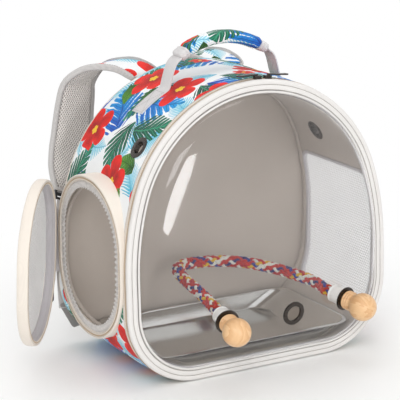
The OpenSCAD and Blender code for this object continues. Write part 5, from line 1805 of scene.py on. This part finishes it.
lay_cloth(grip, [PRINT], grip_measure)
finish_piece(grip, "handle", ["handle_grip"])
CUFF = [(28.9, 0.8), (29.2, 0.96), (29.8, 1.03), (30.6, 1.06), (31.0, 1.0), (31.3, 0.96), (31.7, 1.0), (33.0,
    1.03),
    (34.6, 1.0), (35.4, 0.93), (35.9, 0.8), (36.1, 0.6)]
for side, sign in (("left", -1), ("right", 1)):
    cuff = skin(f"handle_cuff_{side}_sewn", grip_rings([(a * sign, k) for a, k in CUFF], 26, 12.5),
        [PALE_GREY])
    finish_piece(cuff, "handle", [f"handle_cuff_{side}"])
arc = np.linspace(-GRIP_HALF + 2, GRIP_HALF - 2, 90)
under = on_grip(arc, -8.7, 0)
stitches("grip_seam", [(under, on_grip(arc, -10, 0) - on_grip(arc, -9, 0), False)], "handle")

# %% Handle webbing
for side, sign in (("left", -1), ("right", 1)):
    sewn = [np.radians(a) for a in (41.3, 38.5, 35.5, 32.5, 29.5, 27.3)]
    route = [(184.35 * math.sin(a), ARCH_Z + 184.35 * math.cos(a)) for a in sewn]
    route += [(81.4, 354.4), (79.6, 360), (77.4, 368), (74.6, 377), (70.6, 384.6), (64.0, 390.2)]
    line = smooth_path([(sign * x, 0.0, z) for x, z in route], 5)
    width = np.interp(lengths(line), [0, lengths(line)[-1]], [25, 24.4])
    edge = 0.5 * np.sin(lengths(line) / 7.0)
    rings = band_rings(line + np.stack([0 * edge, edge * 0.4, 0 * edge], 1), (0, 1.0, 0), width, 2.0, 0.7, 3)
    section = rounded_section(25, 2.0, 0.7, 3)
    across = np.append(section[:, 0], section[0, 0])
    web = skin(f"handle_webbing_{side}", rings, [WEBBING], ring_u=np.append(lengths(line), 0), point_v=across)
    finish_piece(web, None, [f"handle_web_{side}", f"handle_patch_{side}"])
    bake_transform(web)
    low, high = math.radians(40.6), math.radians(29.0)
    box = [(low, -10.8), (high, -10.8), (high, 10.8), (low, 10.8), (low, -10.8), (high, 10.8), (high, -10.8),
        (low, 10.8)]
    lines = []
    for (a0, y0), (a1, y1) in zip(box, box[1:]):
        a, y = np.linspace(a0, a1, 14), np.linspace(y0, y1, 14)
        points = np.stack([sign * 185.4 * np.sin(a), y, ARCH_Z + 185.4 * np.cos(a)], 1)
        lines.append((points, np.stack([sign * np.sin(a), 0 * a, np.cos(a)], 1), False))
    stitches(f"handle_box_stitch_{side}", lines, "root", GREY_THREAD, pitch=2.8, along=2.0, across=0.45,
        height=0.45)

# %% [markdown]
# ## Shoulder straps
# Each strap leaves the top of the back, curves out and down in a loose loop and ends in an adjuster, from
# which webbing runs to a tab in the lower corner. The stations below are its middle, the heading of its width
# and its share of the full width. The side that lies on the shoulder is spacer mesh, the outer side is the
# print, and a tape binds the edge all round.

# %% Strap routes
STRAP_W, STRAP_T = 60, 9
STRAPS = {"left": [(-58, 91, 345, 4, 0.7), (-61, 101, 354, 12, 0.85), (-82, 119, 363, 26, 1), (-108, 138, 359,
    28, 1),
    (-127, 152, 338, 18, 1), (-132, 156, 310, 12, 1), (-137, 154, 280, 8, 1), (-146, 147, 250, 8, 0.97),
    (-157, 135, 227, 10, 0.85), (-164, 126, 213, 12, 0.65), (-167, 121, 204, 12, 0.5)],
    "right": [(66, 87, 350, -2, 0.7), (63, 100, 357, 4, 0.9), (51, 121, 364, 10, 1), (38, 140, 362, 12, 1),
    (33, 153, 342, 6, 1), (38, 158, 314, -4, 1), (56, 156, 284, -12, 1), (86, 150, 255, -14, 0.97),
    (120, 138, 231, -14, 0.85), (140, 129, 217, -12, 0.65), (147, 123, 207, -12, 0.5)]}


def headed(angle):
    a = np.radians(angle)
    return np.stack([np.cos(a), np.sin(a), 0 * a], -1)


def strap_route(stations, parts=6):
    """The strap's centre line with its width, tangent, across and outward directions."""
    rows = np.array(stations, float)
    path = smooth_path(rows[:, :3], parts)
    at = np.arange(len(path)) / parts
    heading = np.interp(at, np.arange(len(rows)), rows[:, 3])
    width = STRAP_W * np.interp(at, np.arange(len(rows)), rows[:, 4])
    tangent, across, up = path_frames(path, headed(heading))
    return path, width, tangent, across, up


def strap_pad(side):
    path, width, tangent, across, up = strap_route(STRAPS[side])
    reach = lengths(path)
    ends = np.clip(np.minimum(reach, reach[-1] - reach) / 6.0, 0, 1)
    rings = []
    for i in range(len(path)):
        k = 0.72 + 0.28 * math.sqrt(1 - (1 - ends[i]) ** 2)
        section = rounded_section((width[i] - 5) * k, (STRAP_T - 2.2) * k, 3.0 * k, 4)
        rings.append(path[i] + section[:, :1] * across[i] + section[:, 1:] * up[i])
    pad = swollen(skin(f"strap_pad_{side}_stuffed", rings, [PRINT]), 3.2, 1.3)

    def nearest(p):
        found = np.empty(len(p), int)
        for first in range(0, len(p), 20000):
            part = p[first:first + 20000]
            found[first:first + 20000] = ((part[:, None] - path[None]) ** 2).sum(2).argmin(1)
        return found

    def measure(corner, middle):
        k = nearest(corner)
        away = corner - path[k]
        face = nearest(middle)
        outer = ((middle - path[face]) * up[face]).sum(1) > 0
        u = reach[k] + (away * tangent[k]).sum(1)
        v = (away * across[k]).sum(1)
        return u + (0 if side == "left" else 500), v + 30, ~outer

    points = mesh_points(pad)
    k = nearest(points)
    points += up[k] * (0.5 * ripple(points, 11.0, 31))[:, None]
    set_points(pad, points)
    lay_cloth(pad, [PRINT, STRAP_MESH], measure)
    finish_piece(pad, f"strap_{side}", [f"strap_pad_{side}"])
    return path, width, tangent, across, up


ROOT_L, ROOT_SHARE = 26.0, 0.68


def strap_binding(side, path, width, tangent, across, up):
    """A tape folded over the pad's edge, all round it."""
    half = width[:, None] / 2 - 1.8
    left, right = path - across * half, path + across * half
    low = [path[-1] + across[-1] * half[-1] * k + tangent[-1] * 1.4 * (1 - k * k) for k in np.linspace(-0.8,
        0.8, 7)]
    high = [path[0] + across[0] * half[0] * k - tangent[0] * 1.4 * (1 - k * k) for k in np.linspace(0.8, -0.8,
        7)]
    loop = np.concatenate([left, low, right[::-1], high])
    over = np.concatenate([up, np.repeat(up[-1:], 7, 0), up[::-1], np.repeat(up[:1], 7, 0)])
    middle = np.concatenate([path, np.repeat(path[-1:], 7, 0), path[::-1], np.repeat(path[:1], 7, 0)])
    around_it = unit(np.roll(loop, -1, 0) - np.roll(loop, 1, 0))
    out = unit(np.cross(around_it, over))
    out *= np.sign(((loop - middle) * out).sum(1))[:, None]
    # the tape is thinner at the strap's root; at the full swing it still goes a little into the back piping
    slim = np.clip(lengths(path) / ROOT_L * (1 - ROOT_SHARE) + ROOT_SHARE, 0, 1)
    slim = np.concatenate([slim, np.ones(7), slim[::-1], np.full(7, slim[0])])[:, None]
    section = rounded_section(5.2, 8.6, 2.3, 4)
    rings = [loop[i] + (section[:, :1] * out[i] + section[:,
        1:] * over[i]) * slim[i] for i in range(len(loop))]
    finish_piece(skin(f"strap_binding_{side}", rings, [STRAP_TAPE], closed=True), f"strap_{side}", ())
    lines = [(loop - out * 1.6 + over * (4.25 * face) * slim, over * face, True) for face in (1, -1)]
    stitches(f"strap_stitches_{side}", lines, f"strap_{side}", GREY_THREAD)


routes = {}
for side in ("left", "right"):
    routes[side] = strap_pad(side)
    strap_binding(side, *routes[side])

# %% Adjusters, webbing and tabs
BUCKLE_W, BUCKLE_H, BUCKLE_T = 30, 14, 5
for side, sign in (("left", -1), ("right", 1)):
    rows = np.array(STRAPS[side], float)
    end, way = rows[-1, :3], unit(rows[-1, :3] - rows[-2, :3])
    flat = headed(rows[-1, 3])
    across = unit(flat - (flat @ way) * way)
    place = np.eye(4)
    place[:3, 0], place[:3, 1], place[:3, 2] = across, np.cross(way, across), way
    place[:3, 3] = end + (BUCKLE_H / 2 + 0.3) * way
    rings = []
    for inset, y in ((1.0, -BUCKLE_T / 2), (0.3, -2.3), (0, -1.6), (0, 1.6), (0.3, 2.3), (1.0, BUCKLE_T / 2)):
        flat, _ = rounded_loop(BUCKLE_W / 2 - inset, BUCKLE_H / 2 - inset, 3 - inset, (5, 3, 3))
        rings.append(placed(np.stack([flat[:, 0], np.full(len(flat), y), flat[:, 1]], 1), place))
    buckle = skin(f"strap_buckle_{side}_moulded", rings, [BLACK_PLASTIC], sharp=30)
    cutters = []
    for z in (-3.1, 3.1):
        flat, _ = rounded_loop(12.2, 1.35, 1.2, (4, 2, 1))
        rings = [placed(np.stack([flat[:, 0], np.full(len(flat), y), flat[:, 1] + z], 1), place) for y in (-9,
            9)]
        cutters.append(skin("slot", rings, [BLACK_PLASTIC]))
    cut_by(buckle, cutters)
    finish_piece(buckle, f"strap_{side}", [f"strap_buckle_{side}"])

    top = end + 9.5 * way
    foot = np.array([sign * 176, 103.0, 62.5])
    share = np.linspace(0, 1, 30)
    line = top + (foot - top) * share[:, None]
    line[:, 1] += 6 * np.sin(math.pi * share)
    line = np.concatenate([line, [foot + (line[-1] - line[-2]) * k for k in (1, 2, 2.6)]])
    heading = np.append(rows[-1, 3] * (1 - share), [0, 0, 0])
    rings = band_rings(line, headed(heading), 24, 1.6, 0.7, 3)
    section = rounded_section(24, 1.6, 0.56, 3)
    web = skin(f"strap_webbing_{side}", rings, [WEBBING], ring_u=np.append(lengths(line), 0),
        point_v=np.append(section[:, 0], section[0, 0]))
    finish_piece(web, None, [f"strap_web_{side}"])
    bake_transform(web)

    corners = np.array([(146, 24), (168, 20), (188, 56), (162, 62)], float) * [sign, 1]
    middle = corners.mean(0)
    edge = np.concatenate([corners[i] + (corners[(i + 1) % 4] - corners[i]) * np.linspace(0.06, 0.94, 12)[:,
        None]
        for i in range(4)])
    rings = []
    for k, y in ((0.95, 4.2), (1.0, 4.5), (1.0, 6.6), (0.95, 6.9)):
        flat = middle + (edge - middle) * k
        rings.append(on_back(flat[:, 0], np.full(len(flat), y), flat[:, 1]))
    finish_piece(skin(f"strap_tab_{side}_folded", rings, [TAPE], sharp=60), "root", [f"strap_tab_{side}"])
    inner = middle + (edge - middle) * 0.84
    points = on_back(inner[:, 0], np.full(len(inner), 6.95), inner[:, 1])
    out = on_back(0.0, 1.0, 0.0) - on_back(0.0, 0.0, 0.0)
    stitches(f"strap_tab_stitches_{side}", [(points, out, True)], "root", GREY_THREAD)

    path, width, tangent, across, up = routes[side]
    start = path[0]
    back_y = HALF_D - start[2] * math.tan(BACK_LEAN)
    line = smooth_path([(start[0], back_y + 0.8, start[2] - 16), (start[0], back_y + 1.4, start[2] - 6),
        (start[0], back_y + 3.6, start[2] + 0.5), tuple(start + tangent[0] * 1.0),
        tuple(start + tangent[0] * 9)], 5)
    rings = band_rings(line, (1.0, 0, 0), 36, 2.4, 0.7, 3)
    section = rounded_section(36, 2.4, 0.8, 3)
    anchor = skin(f"strap_anchor_{side}", rings, [WEBBING], ring_u=np.append(lengths(line), 0),
        point_v=np.append(section[:, 0], section[0, 0]))
    finish_piece(anchor, None, ())
    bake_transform(anchor)

# %% [markdown]
# ## The pad on the wearer's side
# The photograph doesn't show it. Such carriers have a flat foam pad in spacer mesh there, quilted into a few
# fields so that air can pass, with a tape round its edge. It swells as the other stuffed pieces do, and the
# quilting lines are pressed in afterwards.

# %% Back pad
pad = swollen(skin("back_pad_quilted", panel_rings(28, 1.0, 6.4, 0.0, on_back, 8), [PAD_MESH]), 5.0, 1.6)
points = mesh_points(pad)
c, s = math.cos(BACK_LEAN), math.sin(BACK_LEAN)
depth = (points[:, 1] - HALF_D) * c + points[:, 2] * s
press = sum(np.exp(-((points[:, 2] - z) / 3.0) ** 2) for z in (92, 158, 224, 290))
press = np.clip(press + np.exp(-(points[:, 0] / 3.0) ** 2), 0, 1) * np.clip((depth - 2.0) / 3.0, 0, 1)
points -= np.stack([0 * press, press * c, -press * s], 1) * 3.4
set_points(pad, points)
lay_cloth(pad, [PAD_MESH], lambda corner, middle: (corner[:, 0], corner[:, 2], np.zeros(len(corner))))
finish_piece(pad, "root", ["back_pad"])
PAD_BINDING = [(25.6, 0.4), (24.9, 1.2), (24.7, 3.2), (25.2, 5.0), (26.4, 5.8), (28.4, 5.6), (29.4, 4.6),
    (29.6, 0.4)]
finish_piece(around("back_pad_binding", back, PAD_BINDING, [TAPE], wave=0.15, seed=25), "root", ())
pad_outward = (0, 1.0)
stitches("back_pad_stitches", [seam_round(on_outline(on_back, 700), 27.8, 5.75, pad_outward)], "root",
    GREY_THREAD)

# %% [markdown]
# ## Sizes
# The frame's box and the finished model's box are written side by side, so that a piece which grew out of
# the frame is seen at once.

# %% Sizes, and the end
boxes = {"cad": [list(corner) for corner in cad_box], "visual": [list(corner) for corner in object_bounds()]}
print({key: [[round(c * 1000, 1) for c in corner] for corner in box] for key, box in boxes.items()})
